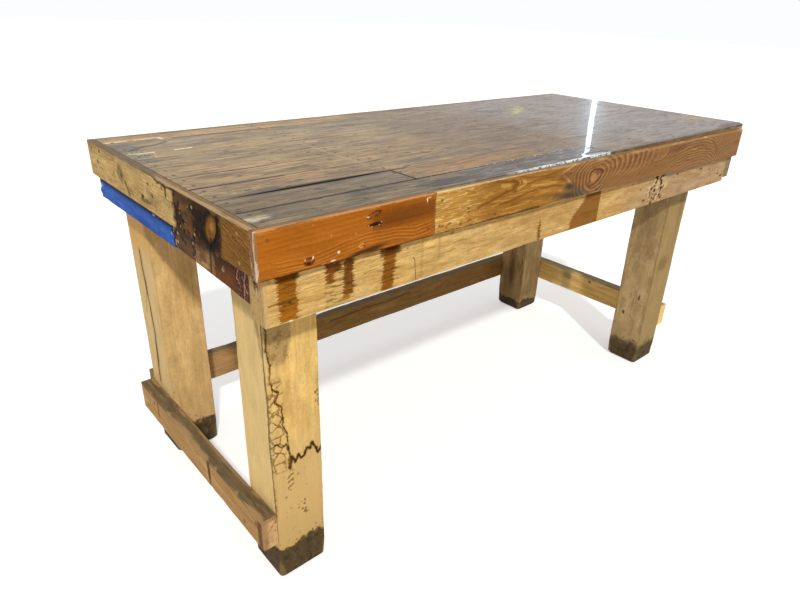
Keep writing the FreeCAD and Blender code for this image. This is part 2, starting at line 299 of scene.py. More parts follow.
class Paint:
    """Builds one material from the place of a point on the table, in millimetres."""

    def __init__(self, name, axis, seed):
        self.material = bpy.data.materials.new(name)
        self.material.use_nodes = True
        self.tree = self.material.node_tree
        self.tree.nodes.clear()
        self.seed, self.axis = seed, axis
        place = self.tree.nodes.new("ShaderNodeTexCoord").outputs["Object"]
        scaled = self.tree.nodes.new("ShaderNodeVectorMath")
        scaled.operation = "SCALE"
        scaled.inputs["Scale"].default_value = METRE
        self.tree.links.new(place, scaled.inputs[0])
        self.point = scaled.outputs[0]
        self.bent = self.bend_point(place)
        parts = self.tree.nodes.new("ShaderNodeSeparateXYZ")
        self.tree.links.new(self.point, parts.inputs[0])
        self.places = [Value(self.tree, socket) for socket in parts.outputs]
        self.x, self.y, self.z = self.places
        self.along = self.places[axis]
        wear = self.tree.nodes.new("ShaderNodeAttribute")
        wear.attribute_name = "wear"
        self.wear = Value(self.tree, wear.outputs["Fac"])
        self.height = None
        self.colour = None
        self.rough = None
        self.face = None

    def mapped(self, point, scale, location=(0.0, 0.0, 0.0)):
        """A point that is scaled and then moved, for a noise or a cell pattern."""
        mapping = self.tree.nodes.new("ShaderNodeMapping")
        mapping.inputs["Scale"].default_value = scale
        mapping.inputs["Location"].default_value = location
        self.tree.links.new(point, mapping.inputs["Vector"])
        return mapping.outputs[0]

    def bend_point(self, place):
        """The point in mm, pushed about by noise, so that flecks get uneven shapes.

        Colours, vectors and points are kept apart here and below: each link that changes the kind is worked
        out late, and the values that wait for it can fill the renderer's stack and turn the material black.
        """
        size, reach = 6.0, 9.0
        scaled = self.mapped(place, [1 / (size * MM)] * 3)
        wander = self.tree.nodes.new("ShaderNodeTexNoise")
        wander.inputs["Scale"].default_value = 1.0
        self.tree.links.new(scaled, wander.inputs["Vector"])
        split = self.tree.nodes.new("ShaderNodeSeparateColor")
        join = self.tree.nodes.new("ShaderNodeCombineXYZ")
        self.tree.links.new(wander.outputs["Color"], split.inputs[0])
        for index in range(3):
            self.tree.links.new(split.outputs[index], join.inputs[index])
        return self.vector("MULTIPLY_ADD", join.outputs[0], (reach, reach, reach), self.point).outputs[0]

    def noise(self, size, along=1.0, detail=3.0, roughness=0.55, offset=0.0, distortion=0.0):
        """Noise from 0 to 1 with blobs of about size mm, drawn out along the grain."""
        scale = [1.0 / size] * 3
        scale[self.axis] = 1.0 / (size * along)
        location = (self.seed * 3.17 + offset, self.seed * 1.93 - offset, self.seed * 5.3 + offset * 2)
        place = self.mapped(self.point, scale, location)
        node = self.tree.nodes.new("ShaderNodeTexNoise")
        node.inputs["Scale"].default_value = 1.0
        node.inputs["Detail"].default_value = detail
        node.inputs["Roughness"].default_value = roughness
        node.inputs["Distortion"].default_value = distortion
        self.tree.links.new(place, node.inputs["Vector"])
        return Value(self.tree, node.outputs["Fac"])

    def number(self, value):
        """A constant as a value of the tree."""
        node = self.tree.nodes.new("ShaderNodeValue")
        node.outputs[0].default_value = value
        return Value(self.tree, node.outputs[0])

    def start(self, colour, rough=0.6):
        """Sets the first colour and roughness, with a flat surface."""
        node = self.tree.nodes.new("ShaderNodeRGB")
        node.outputs[0].default_value = srgb(*colour)
        self.colour = node.outputs[0]
        self.rough = self.number(rough)
        self.height = self.number(0.0)

    def blend(self, mask, colour, strength=1.0, mode="MIX"):
        """Mixes a colour in by a mask."""
        node = self.tree.nodes.new("ShaderNodeMix")
        node.data_type = "RGBA"
        node.blend_type = mode
        mask = mask * strength if strength != 1.0 else mask
        self.tree.links.new(mask.socket, node.inputs[0])
        self.tree.links.new(self.colour, node.inputs[6])
        if isinstance(colour, (tuple, list)):
            node.inputs[7].default_value = srgb(*colour)
        else:
            self.tree.links.new(colour, node.inputs[7])
        self.colour = node.outputs[2]

    def shade(self, factor):
        """Multiplies the colour by a number."""
        grey = self.tree.nodes.new("ShaderNodeCombineColor")
        for socket in grey.inputs:
            self.tree.links.new(factor.socket, socket)
        self.blend(self.number(1.0), grey.outputs[0], mode="MULTIPLY")

    def on(self, face):
        """A mask for one face of a board; face is one of the table's faces, listed below."""
        axis, comparison, limit = face
        return self.places[axis].op(comparison, limit)

    def view(self, a, b, face=None, ragged=3.0, size=9.0, comb=None):
        """Sets the two axes that the marks are placed in, bent by up to ragged mm in waves of size mm.

        comb is (reach, pitch): a bleed that runs out along the first axis in fine teeth.
        """
        self.a, self.b = self.places[a], self.places[b]
        self.exact = (self.a, self.b)
        if ragged:
            self.a = self.a + (self.noise(size, 1, 3, 0.6, 3.1) - 0.5) * (2 * ragged)
            self.b = self.b + (self.noise(size, 1, 3, 0.6, 8.7) - 0.5) * (2 * ragged)
        if comb:
            reach, pitch = comb
            self.a = self.a + (self.noise(pitch, 9, 3, 0.75, 5.5) - 0.5) * (2 * reach)
        join = self.tree.nodes.new("ShaderNodeCombineXYZ")
        self.tree.links.new(self.a.socket, join.inputs[0])
        self.tree.links.new(self.b.socket, join.inputs[1])
        self.pair = join.outputs[0]
        self.face = face

    def vector(self, operation, *items):
        """A vector calculation on sockets or constant triples."""
        node = self.tree.nodes.new("ShaderNodeVectorMath")
        node.operation = operation
        for socket, item in zip(node.inputs, items):
            if isinstance(item, tuple):
                socket.default_value = item
            else:
                self.tree.links.new(item, socket)
        return node

    def mark(self, mask, colour, strength, depth=0.0):
        """Colours a mask on the face in view; depth sinks it by that many mm."""
        if self.face is not None:
            mask = mask * self.face
        self.blend(mask, colour, strength)
        if depth:
            self.height = self.height - mask * depth

    def box(self, colour, a0, a1, b0, b1, soft=3.0, strength=1.0, lean=0.0):
        """A stain between limits; lean moves its sides by that much a for each b."""
        a = self.a - (self.b - (b0 + b1) / 2) * lean if lean else self.a
        mask = a.step(a0 - soft, a0 + soft) * a.step(a1 + soft, a1 - soft)
        mask = mask * (self.b.step(b0 - soft, b0 + soft) * self.b.step(b1 + soft, b1 - soft))
        self.mark(mask, colour, strength)

    def distance(self, a, b, ra, rb, turn=0.0):
        """Distance from an ellipse's centre, 1 on its outline."""
        away = self.vector("SUBTRACT", self.pair, (a, b, 0)).outputs[0]
        if not turn:
            away = self.vector("MULTIPLY", away, (1 / ra, 1 / rb, 0)).outputs[0]
            return Value(self.tree, self.vector("LENGTH", away).outputs["Value"])
        c, s = math.cos(math.radians(turn)), math.sin(math.radians(turn))
        long = Value(self.tree, self.vector("DOT_PRODUCT", away, (c / ra, s / ra, 0)).outputs["Value"])
        short = Value(self.tree, self.vector("DOT_PRODUCT", away, (-s / rb, c / rb, 0)).outputs["Value"])
        return (long * long + short * short).op("SQRT")

    def spot(self, colour, a, b, ra, rb, strength=1.0, turn=0.0, edge=0.35, depth=0.0):
        """A filled ellipse with half axes ra and rb, turned by degrees; edge is how soft its outline is."""
        mask = self.distance(a, b, ra, rb, turn).step(1 + edge, 1 - edge)
        self.mark(mask, colour, strength, depth)

    def ring(self, colour, a, b, ra, rb, width=0.15, strength=1.0, turn=0.0, depth=0.0):
        """The outline of an ellipse; width is a share of its half axes."""
        mask = (self.distance(a, b, ra, rb, turn) - 1.0).abs().step(width, width * 0.3)
        self.mark(mask, colour, strength, depth)

    def line(self, colour, points, width, strength=1.0, depth=0.0, soft=0.5, uneven=0.0):
        """A crack or drawn line through points; width is its half width."""
        nearest = None
        for (a0, b0), (a1, b1) in zip(points, points[1:]):
            run = (float(a1 - a0), float(b1 - b0), 0.0)
            length = run[0] ** 2 + run[1] ** 2
            start = self.vector("SUBTRACT", self.pair, (a0, b0, 0)).outputs[0]
            share = self.vector("DOT_PRODUCT", start, tuple(c / length for c in run)).outputs["Value"]
            # The clamp is made before the node that needs it, or each segment would wait (see bend_point)
            share = Value(self.tree, share).clamp()
            place = self.vector("SCALE", run)
            self.tree.links.new(share.socket, place.inputs["Scale"])
            gap = Value(self.tree, self.vector("DISTANCE", start, place.outputs[0]).outputs["Value"])
            nearest = gap if nearest is None else nearest.at_most(gap)
        if uneven:
            nearest = nearest + (self.noise(7, 1.3, 3, 0.65, 57) - 0.5) * (uneven * 2)
        mask = nearest.step(width * (1 + soft), width * (1 - soft))
        self.mark(mask, colour, strength, depth)

    def grain(self, dark, light, ring_mm=6.0, contrast=0.5, centre=(0.0, 0.0), slope=(0.0, 0.0), knots=(),
              warp=5.0, bump_mm=0.12):
        """Growth rings around a slanting pith line, bent around knots, with fine fibres.

        centre is the pith at the middle of the table in the two directions across the grain, slope its
        drift per mm, and knots are (along, across, half length, half width, lift in rings, which direction).
        """
        stretch, sharp = 14.0, 2.0
        across = [self.places[i] for i in range(3) if i != self.axis]
        u = across[0] - centre[0] - self.along * slope[0]
        v = across[1] - centre[1] - self.along * slope[1]
        wander = (self.noise(60, stretch, 2, 0.5, 1.3) - 0.5) * (2 * warp)
        wander = wander + (self.noise(14, stretch, 2, 0.5, 2.3) - 0.5) * (warp * 0.35)
        field = ((u * u + v * v).power(0.5) + wander) / ring_mm
        for s, t, half_s, half_t, lift, which in knots:
            q = ((self.along - s) / half_s).power(2.0) + ((across[which] - t) / half_t).power(2.0)
            field = field + ((q + 1.0).power(-1.5)) * lift
        saw = field.op("FRACT")
        late = saw.power(sharp) * saw.step(1.0, 0.86)
        fibre = self.noise(1.6, 30, 3, 0.65, 4.4)
        streak = self.noise(5.5, 40, 2, 0.55, 7.7)
        self.blend((late * 1.5).clamp(), dark, contrast)
        self.blend(streak.step(0.45, 0.8), light, 0.35)
        self.blend(fibre.step(0.56, 0.34), dark, contrast * 0.45)
        self.height = self.height + late * bump_mm + (fibre - 0.5) * (bump_mm * 1.6)

    def texture(self, streak=0.08, patch=0.06, fleck=0.03, width=8.0, along=16.0):
        """Uneven tone: streaks along the grain, broad patches and small flecks, as relative changes."""
        spread = 0.11
        tone = (self.noise(width, along, 4, 0.62, 81, 0.3) - 0.5) * (streak / spread)
        tone = tone + (self.noise(width * 4, along * 0.3, 3, 0.6, 87, 0.5) - 0.5) * (patch / spread)
        tone = tone + (self.noise(5.0, 1.7, 3, 0.7, 93) - 0.5) * (fleck / spread)
        self.shade((tone + 1.0).at_least(0.25))
        self.height = self.height + tone * 0.35

    def specks(self, colour, pitch, radius, share, strength=0.9, area=None, offset=0.0, depth=0.0,
               squeeze=(1.0, 1.0, 1.0)):
        """Separate crisp flecks of uneven shape: share of the cells hold one, radius is in cell sizes."""
        location = (offset + self.seed, offset * 1.7, offset * 0.3)
        place = self.mapped(self.bent, [k / pitch for k in squeeze], location)
        cells = self.tree.nodes.new("ShaderNodeTexVoronoi")
        cells.inputs["Scale"].default_value = 1.0
        self.tree.links.new(place, cells.inputs["Vector"])
        chance = self.tree.nodes.new("ShaderNodeSeparateColor")
        self.tree.links.new(cells.outputs["Color"], chance.inputs[0])
        here = Value(self.tree, chance.outputs[0]).op("LESS_THAN", share)
        mask = Value(self.tree, cells.outputs["Distance"]).step(radius * 1.25, radius * 0.75) * here
        if area is not None:
            mask = mask * area
        self.mark(mask, colour, strength, depth)

    def cells(self, colour, pitch, width, area, strength=0.8):
        """Outlines of uneven cells, as a dried stain leaves them; pitch and half width in mm."""
        place = self.mapped(self.bent, [1 / pitch] * 3)
        net = self.tree.nodes.new("ShaderNodeTexVoronoi")
        net.feature = "DISTANCE_TO_EDGE"
        net.inputs["Scale"].default_value = 1.0
        self.tree.links.new(place, net.inputs["Vector"])
        half = width / pitch
        outline = Value(self.tree, net.outputs["Distance"]).step(half * 1.5, half * 0.5)
        self.mark(outline * area, colour, strength)

    def break_grain(self, place, seams, jump=517.0):
        """Starts new grain past each seam, so that the figure doesn't run on into the next plank."""
        shift = None
        for seam in seams:
            past = place.op("GREATER_THAN", seam) * jump
            shift = past if shift is None else shift + past
        join = self.tree.nodes.new("ShaderNodeCombineXYZ")
        places = list(self.places)
        places[self.axis] = places[self.axis] + shift
        for value, socket in zip(places, join.inputs):
            self.tree.links.new(value.socket, socket)
        self.point = join.outputs[0]

    def streaks(self, colour, size=4.5, along=16.0, level=0.58, soft=0.08, strength=0.6, offset=0.0,
                area=None, depth=0.15, distortion=0.4):
        """Thin lines that run with the grain."""
        mask = self.noise(size, along, 3, 0.55, 111 + offset, distortion).step(level, level + soft)
        if area is not None:
            mask = mask * area
        self.mark(mask, colour, strength, depth)

    def weather(self, tints, size=70.0, along=2.5):
        """Broad changes of colour: each tint is (colour, from, to, strength, size factor)."""
        for i, (colour, low, high, strength, factor) in enumerate(tints):
            mask = self.noise(size * factor, along, 4, 0.6, 31 + 7.7 * i).step(low, high)
            self.blend(mask, colour, strength)

    def finish(self, specular=0.25, coat=0.0, coat_rough=0.12, bump=1.0, rough_noise=0.12, edge_colour=None,
               edge_strength=0.5):
        """Colours the worn edges, joins everything to the shader and returns the material."""
        if edge_colour:
            mask = (self.wear * (self.noise(9, 3, 3, 0.6, 50) + 0.35)).step(0.35, 0.8)
            self.blend(mask, edge_colour, edge_strength)
        rough = self.rough + (self.noise(24, 2, 3, 0.6, 61) - 0.5) * rough_noise
        shader = self.tree.nodes.new("ShaderNodeBsdfPrincipled")
        out = self.tree.nodes.new("ShaderNodeOutputMaterial")
        self.tree.links.new(self.colour, shader.inputs["Base Color"])
        self.tree.links.new(rough.clamp().socket, shader.inputs["Roughness"])
        shader.inputs["Specular IOR Level"].default_value = specular
        if coat:
            shader.inputs["Coat Weight"].default_value = coat
            shader.inputs["Coat Roughness"].default_value = coat_rough
            shader.inputs["Coat IOR"].default_value = 1.35
        height = self.tree.nodes.new("ShaderNodeBump")
        height.inputs["Strength"].default_value = bump
        height.inputs["Distance"].default_value = MM
        self.tree.links.new(self.height.socket, height.inputs["Height"])
        self.tree.links.new(height.outputs[0], shader.inputs["Normal"])
        self.tree.links.new(shader.outputs[0], out.inputs[0])
        return self.material


# ---------------------------------------------------------------- shapes of the pieces
def node_limits(node):
    """The low and high corner of a CAD node, in millimetres."""
    low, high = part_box(node)
    return [v * METRE for v in low], [v * METRE for v in high]


def timber(node, axis, seed, material, slot, **shape):
    """Lofts a worn board in the place of a CAD node and hides the node."""
    low, high = node_limits(node)
    piece = board(node + "_wood", axis, low, high, seed, **shape)
    bpy.context.scene.collection.objects.link(piece)
    piece.data.materials.append(material)
    flat = piece.modifiers.new("flat_faces", "WEIGHTED_NORMAL")
    flat.weight = 90
    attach(piece, "root")
    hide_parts(node)


# Faces that marks lie on: each holds the points past a limit that is a little inside the solid's face
ABOVE, BELOW = "GREATER_THAN", "LESS_THAN"
PLANK_TOP = (Z, ABOVE, 915)
EDGE_BOARD_FRONT = (Y, BELOW, -424)
ORANGE_BOARD_TOP, ORANGE_BOARD_END = (Z, ABOVE, 919.5), (X, BELOW, -938.5)
GOLDEN_BOARD_TOP = (Z, ABOVE, 916)
END_BOARD_SIDE, END_BOARD_TOP = (X, BELOW, -938), (Z, ABOVE, 919)
APRON_FRONT, APRON_LEFT = (Y, BELOW, -405), (X, BELOW, -918)
FRONT_LEGS_FRONT, BACK_LEGS_FRONT = (Y, BELOW, -319), (Y, BELOW, 272)
LEFT_LEGS_SIDE, RIGHT_LEGS_SIDE = (X, BELOW, -882), (X, BELOW, 702)
LEFT_STRETCHER_SIDE, LEFT_STRETCHER_TOP = (X, BELOW, -920), (Z, ABOVE, 203)
LEFT_STRETCHER_END = (Y, BELOW, -318)
RIGHT_STRETCHER_SIDE, RIGHT_STRETCHER_TOP = (X, BELOW, 828), (Z, ABOVE, 216)
REAR_STRETCHER_FRONT, REAR_STRETCHER_TOP = (Y, BELOW, 398), (Z, ABOVE, 218)

# Top planks: one weathered, sealed surface with a different tone on each plank
PLANK_SEAMS = (-329.7, -242.2, -150.6, -57.0, 37.8, 132.8, 227.8, 322.9)


def top_material():
    p = Paint("sealed_plank_top", X, 1)
    p.break_grain(p.y, PLANK_SEAMS)
    p.start((152, 124, 82), 0.40)
    p.grain((84, 60, 38), (184, 154, 106), ring_mm=10, contrast=0.3, centre=(-1200, 500), warp=16,
            bump_mm=0.06)
    top_face = p.on(PLANK_TOP)
    p.view(X, Y, top_face, ragged=0)
    left = p.a.step(-60, -380)
    tones = [((120, 103, 75), 0.85), ((117, 98, 70), 0.8), ((158, 130, 88), 0.5), ((170, 138, 92), 0.6),
             ((176, 147, 100), 0.5), ((166, 140, 96), 0.6), ((182, 153, 101), 0.6), ((154, 133, 97), 0.6),
             ((182, 145, 88), 0.75)]
    for (colour, strength), low, high in zip(tones, (-440,) + PLANK_SEAMS, PLANK_SEAMS + (440,)):
        p.box(colour, -960, -200, low, high, 1.2, strength)
    p.weather([((112, 92, 64), 0.5, 0.62, 0.55, 0.8), ((184, 150, 100), 0.52, 0.64, 0.55, 0.6),
               ((98, 72, 46), 0.56, 0.68, 0.5, 0.4), ((128, 114, 94), 0.5, 0.62, 0.4, 1.3)], along=3.5)
    p.view(X, Y, top_face, ragged=11, size=26)
    p.mark(p.a.step(-420, 60), (120, 103, 84), 0.5)
    p.spot((112, 84, 54), -20, -120, 280, 210, 0.4, edge=0.8)
    # Partly painted reflection: a pale lavender-grey cast over the right end of the top, partly the weathered
    # wood's grey and partly the haze of the strip lamp's reflection
    p.mark(p.a.step(60, 420), (154, 150, 154), 0.5)
    p.box((112, 98, 74), -940, 110, -440, -331, 3, 0.6)
    p.box((108, 92, 66), -940, -507, -328, -243, 3, 0.5)
    p.box((156, 116, 62), -500, -60, -326, -246, 20, 0.6)
    p.spot((180, 126, 62), -330, -286, 120, 22, 0.4, edge=0.7)
    p.spot((184, 136, 74), -680, -172, 90, 14, 0.5, edge=0.7)
    p.spot((44, 36, 28), -465, -380, 84, 22, 0.85)
    p.spot((62, 52, 42), -620, -352, 70, 10, 0.6)
    p.spot((222, 208, 168), -905, -372, 26, 11, 0.6)
    p.box((60, 60, 64), -400, 110, -412, -335, 12, 0.6)
    p.box((36, 36, 38), -330, -40, -352, -336, 6, 0.6)
    p.box((96, 74, 42), 110, 943, -425, -400, 6, 0.6)
    p.spot((74, 52, 34), 860, -400, 90, 22, 0.8)
    p.spot((178, 140, 100), 880, -255, 70, 45, 0.5, edge=0.8)
    p.box((104, 98, 86), -930, -880, 90, 320, 8, 0.7)
    p.spot((150, 140, 132), -760, 285, 70, 16, 0.6)
    p.spot((200, 156, 96), -600, 345, 180, 13, 0.6, edge=0.6)
    p.spot((206, 148, 76), -480, 334, 34, 10, 0.6)
    p.spot((116, 98, 68), -480, 292, 56, 24, 0.45, edge=0.7)
    p.spot((118, 84, 62), -430, 132, 60, 24, 0.45, edge=0.7)
    for a, b, ra, rb in ((-470, 60, 44, 16), (-560, -20, 66, 18), (330, 200, 60, 26), (-720, 100, 50, 12),
                         (-300, 240, 60, 18), (-120, 40, 70, 20), (-640, -110, 60, 10), (-380, -200, 90, 14)):
        p.spot((84, 66, 48), a, b, ra, rb, 0.45, edge=0.6)
    p.spot((160, 148, 92), 430, 178, 125, 36, 0.5, turn=34, edge=0.8)
    p.view(X, Y, top_face, ragged=8, size=12)
    p.spot((206, 196, 124), 392, 150, 46, 8, 0.7, turn=30, edge=0.8)
    p.spot((188, 180, 112), 470, 205, 60, 16, 0.5, turn=38, edge=0.8)
    p.view(X, Y, top_face, ragged=2.4, size=14)
    p.texture(0.09, 0.15, 0.07, width=9, along=10)
    # Painted sheen: the left part of the top is made lighter in place of the reflection that the low specular
    # level leaves out
    p.shade(left * 0.14 + 1.0)
    p.streaks((58, 42, 24), 4.6, 22, 0.56, 0.06, 0.6, 0, left)
    p.streaks((84, 62, 38), 9, 12, 0.575, 0.05, 0.5, 9, left)
    p.streaks((202, 174, 124), 5.5, 18, 0.575, 0.07, 0.45, 17, left, depth=-0.05)
    p.streaks((126, 114, 96), 14, 6, 0.57, 0.07, 0.35, 41, left)
    right = p.exact[0].step(-300, 0)
    p.streaks((80, 62, 48), 22.0, 4, 0.55, 0.09, 0.45, 25, right, distortion=2.0)
    p.streaks((176, 154, 130), 26.0, 4, 0.56, 0.10, 0.4, 29, right, distortion=2.0)
    p.streaks((70, 52, 44), 44.0, 3.0, 0.58, 0.07, 0.45, 33, right, distortion=2.4)
    front_strip = p.exact[0].step(-420, -300) * p.exact[1].step(-325, -345) * p.exact[0].step(130, 60)
    p.streaks((150, 150, 156), 8.0, 8, 0.54, 0.05, 0.55, 37, front_strip)
    pale = (244, 228, 178)
    p.view(X, Y, top_face, ragged=4, size=9)
    for points in ([(-918, 340), (-872, 343)], [(-850, 345), (-788, 347), (-789, 328)],
                   [(-912, 200), (-896, 190), (-862, 191)], [(-810, 192), (-770, 194)]):
        p.line(pale, points, 4.2, 0.95, uneven=2.5)
    p.specks((232, 222, 196), 9, 0.34, 0.5, 0.9, area=p.distance(-895, 180, 34, 44).step(1.2, 0.7))
    p.spot((38, 30, 22), -335, 117, 9, 4, 0.9)
    dark, grime = (22, 16, 10), (60, 44, 30)
    p.view(X, Y, top_face, ragged=1.6, size=30)
    p.box(grime, -922, -380, -336, -324, 3, 0.55)
    p.box(dark, -922, -400, -332.2, -327.6, 1.6, 0.95)
    p.box((50, 38, 28), -400, 92, -332, -328, 1.8, 0.75)
    p.spot(grime, -684, -242, 196, 13, 0.65)
    p.spot(dark, -684, -242, 182, 8, 0.97, edge=0.3)
    p.box(dark, -870, -500, -244, -240.4, 1.4, 0.9)
    p.line((64, 44, 24), [(-505, -238), (-470, -240), (-440, -230)], 4, 0.7, uneven=2)
    p.line((96, 66, 36), [(-640, -196), (-590, -206), (-512, -226)], 5, 0.5, uneven=3)
    p.box(dark, -511, -503.5, -335, -240, 1.4, 0.9)
    p.box((84, 48, 20), -925, -720, -156, -146, 2.2, 0.9)
    p.box((40, 28, 18), -922, -300, -152, -149, 1.4, 0.75)
    p.box((96, 60, 34), -925, -700, -60, -54, 2.0, 0.7)
    p.box((44, 32, 22), -922, -520, -58.4, -55.6, 1.4, 0.75)
    p.box((100, 66, 30), -765, -440, 316, 328, 4, 0.85)
    p.box((112, 80, 44), -460, -150, 315, 325, 4, 0.65)
    for seam in (37.8, 132.8, 227.8):
        p.box((74, 56, 40), -925, -330, seam - 1.6, seam + 1.6, 1.6, 0.5)
    p.box((88, 70, 54), -120, 900, -243.6, -240.8, 1.4, 0.3)
    p.line((50, 36, 24), [(-895, 235), (-862, 258), (-832, 264), (-795, 287)], 6, 0.8, depth=0.4, uneven=3)
    p.line((196, 174, 138), [(-520, 90), (-524, -40), (-518, -160)], 4, 0.35)
    p.line((66, 50, 38), [(786, -208), (820, -178), (852, -158), (900, -146), (940, -170)], 3, 0.6, uneven=2)
    p.specks((220, 208, 180), 8, 0.34, 0.4, 0.75, offset=12,
             area=p.a.step(-475, -455) * p.a.step(100, 80) * (p.b + 328).abs().step(8, 3))
    worn_lip = p.a.step(-330, -240) * p.a.step(110, 98) * p.b.step(-404, -408.5)
    p.mark(p.noise(5, 2, 3, 0.6, 63).step(0.40, 0.50) * worn_lip, (250, 250, 248), 0.95)
    splash = p.distance(430, 180, 110, 36, 34).step(1.1, 0.6)
    p.mark(p.noise(9, 5, 3, 0.7, 99, 0.8).step(0.48, 0.58) * splash, (196, 188, 124), 0.55)
    p.view(X, Y, top_face, ragged=2.0, size=8)
    p.spot((168, 168, 164), 45, -401, 48, 8, 0.8)
    p.line((22, 17, 14), [(-10, -400), (14, -390), (50, -387), (84, -391), (102, -402)], 2.4, 0.92,
           depth=0.5, uneven=1)
    p.specks((250, 250, 248), 7, 0.42, 0.5, 0.95, area=p.distance(45, -406, 62, 6).step(1.2, 0.8))
    p.specks((44, 34, 24), 16, 0.22, 0.3, 0.75, area=left, squeeze=(0.4, 1, 1), offset=3)
    p.specks((214, 196, 160), 24, 0.10, 0.12, 0.5, squeeze=(0.5, 1, 1), offset=8)
    p.rough = p.rough + (p.noise(120, 2, 4, 0.65, 71) - 0.5) * 0.24
    p.height = p.height * (left * 0.7 + 0.3)
    return p.finish(specular=0.05, coat=0.2, coat_rough=0.04, bump=0.35, edge_colour=(96, 76, 54),
                    edge_strength=0.4)


def orange_material():
    p = Paint("orange_edge_board", X, 2)
    p.start((178, 103, 24), 0.5)
    p.grain((150, 80, 16), (198, 124, 50), ring_mm=7, contrast=0.4, centre=(-300, 700), slope=(0, 0.03),
            warp=12, knots=[(-760, 850, 150, 14, 3.0, 1)])
    p.weather([((152, 82, 16), 0.48, 0.66, 0.35, 0.9), ((196, 118, 44), 0.52, 0.7, 0.3, 0.5)], along=4)
    front = p.on(EDGE_BOARD_FRONT)
    p.view(X, Z, front, ragged=7, size=22)
    p.box((112, 60, 10), -704, -530, 872, 914, 12, 0.8, lean=-0.2)
    p.box((148, 82, 18), -700, -530, 838, 872, 14, 0.4)
    p.view(X, Z, front, ragged=3, size=40)
    for high, low in ((869, 860), (862, 852), (855, 845), (848, 841)):
        light_line = [(-905, low), (-840, low - 3), (-780, high - 2), (-716, high + 5), (-650, high + 2),
                      (-600, high - 7), (-556, high - 3)]
        dark_line = [(x, z - 3) for x, z in light_line]
        p.line((214, 142, 62), light_line, 0.9, 0.4, soft=0.9, uneven=0.9)
        p.line((122, 62, 10), dark_line, 0.9, 0.3, soft=0.9, uneven=0.9)
    p.texture(0.07, 0.06, 0.05, width=6)
    p.view(X, Z, front, ragged=2.4, size=7)
    p.spot((46, 30, 16), -716, 839, 44, 6, 0.85, turn=5, edge=0.5)
    p.spot((24, 12, 6), -698, 887, 17, 3.4, 0.95, depth=0.5)
    p.ring((70, 34, 10), -700, 906, 15, 4.2, 0.30, 0.85, turn=16, depth=0.4)
    p.spot((226, 196, 150), -714, 903, 3, 1.6, 0.8)
    p.ring((92, 40, 10), -842, 848, 9, 6, 0.4, 0.9)
    p.spot((240, 222, 190), -834, 853, 2.0, 4, 0.9, turn=-30)
    p.spot((226, 190, 150), -850, 852, 2, 2, 0.8)
    p.spot((48, 14, 6), -843, 846, 4.5, 4, 0.95)
    p.spot((244, 228, 196), -780, 851, 3.2, 2.8, 0.85)
    p.spot((236, 214, 188), -792, 838, 5, 1.8, 0.8)
    p.spot((206, 160, 116), -812, 836, 5, 1.6, 0.6)
    p.ring((226, 160, 96), -728, 852, 6, 3.4, 0.4, 0.8)
    for a, b in ((-713, 887), (-706, 884), (-688, 885), (-682, 889)):
        p.spot((210, 164, 110), a, b, 1.9, 1.2, 0.8)
    p.spot((252, 232, 196), -568, 909, 1.3, 7, 0.95)
    p.spot((238, 200, 150), -562, 915, 5, 1.4, 0.8)
    p.box((222, 164, 104), -950, -540, 919.6, 925, 0.7, 0.6)
    # Painted shade: a dark band along the board's lower edge, where the gap above the apron lies in shade
    p.box((52, 28, 12), -950, -540, 825, 835.5, 1.4, 0.8)
    p.specks((222, 164, 96), 18, 0.10, 0.2, 0.5)
    # The top edge is as grey and worn as the planks
    p.view(X, Y, p.on(ORANGE_BOARD_TOP), ragged=2.4, size=10)
    p.box((136, 116, 90), -960, -530, -424, -405, 2.5, 0.9)
    p.streaks((90, 72, 54), 5, 18, 0.55, 0.06, 0.6, 3)
    p.view(Y, Z, p.on(ORANGE_BOARD_END), ragged=3, size=8)
    p.box((150, 116, 84), -432, -410, 830, 925, 1, 0.95)
    p.specks((222, 200, 170), 10, 0.4, 0.4, 0.8, offset=3, squeeze=(1, 1, 0.35))
    p.line((240, 222, 194), [(-428, 922), (-426, 880), (-428, 836)], 1.4, 0.8, uneven=1)
    for shift in (0, 6):
        crack = [(-424 + shift, 922), (-419 + shift, 896), (-424 + shift, 868), (-420 + shift, 835)]
        p.line((26, 16, 10), crack, 1.7, 0.95, uneven=1.8)
    return p.finish(specular=0.06, edge_colour=(208, 142, 80), edge_strength=0.45)


def flame(p, x, z, right, left, up, down, rise=0.0, spread=0.0):
    """Rings around a heart at x, z; right, left, up and down are the ring pitches in mm.

    The figure climbs by rise to the right, and its pitch grows by spread past 100 mm.
    """
    run = p.a - x
    out = run.at_least(0.0)
    side = out * (1.0 / right) + (-run).at_least(0.0) * (1.0 / left)
    side = side - (out - 100.0).at_least(0.0) * (1.0 / right - 1.0 / (right + spread))
    over = p.b - (1.0 - (out * -0.0066).op("EXPONENT")) * rise - z
    below = out.step(20, 110) * (1.0 / up - 1.0 / down) + 1.0 / down
    height = over.at_least(0.0) * (1.0 / up) + (-over).at_least(0.0) * below
    return (side * side + height * height).power(0.5)


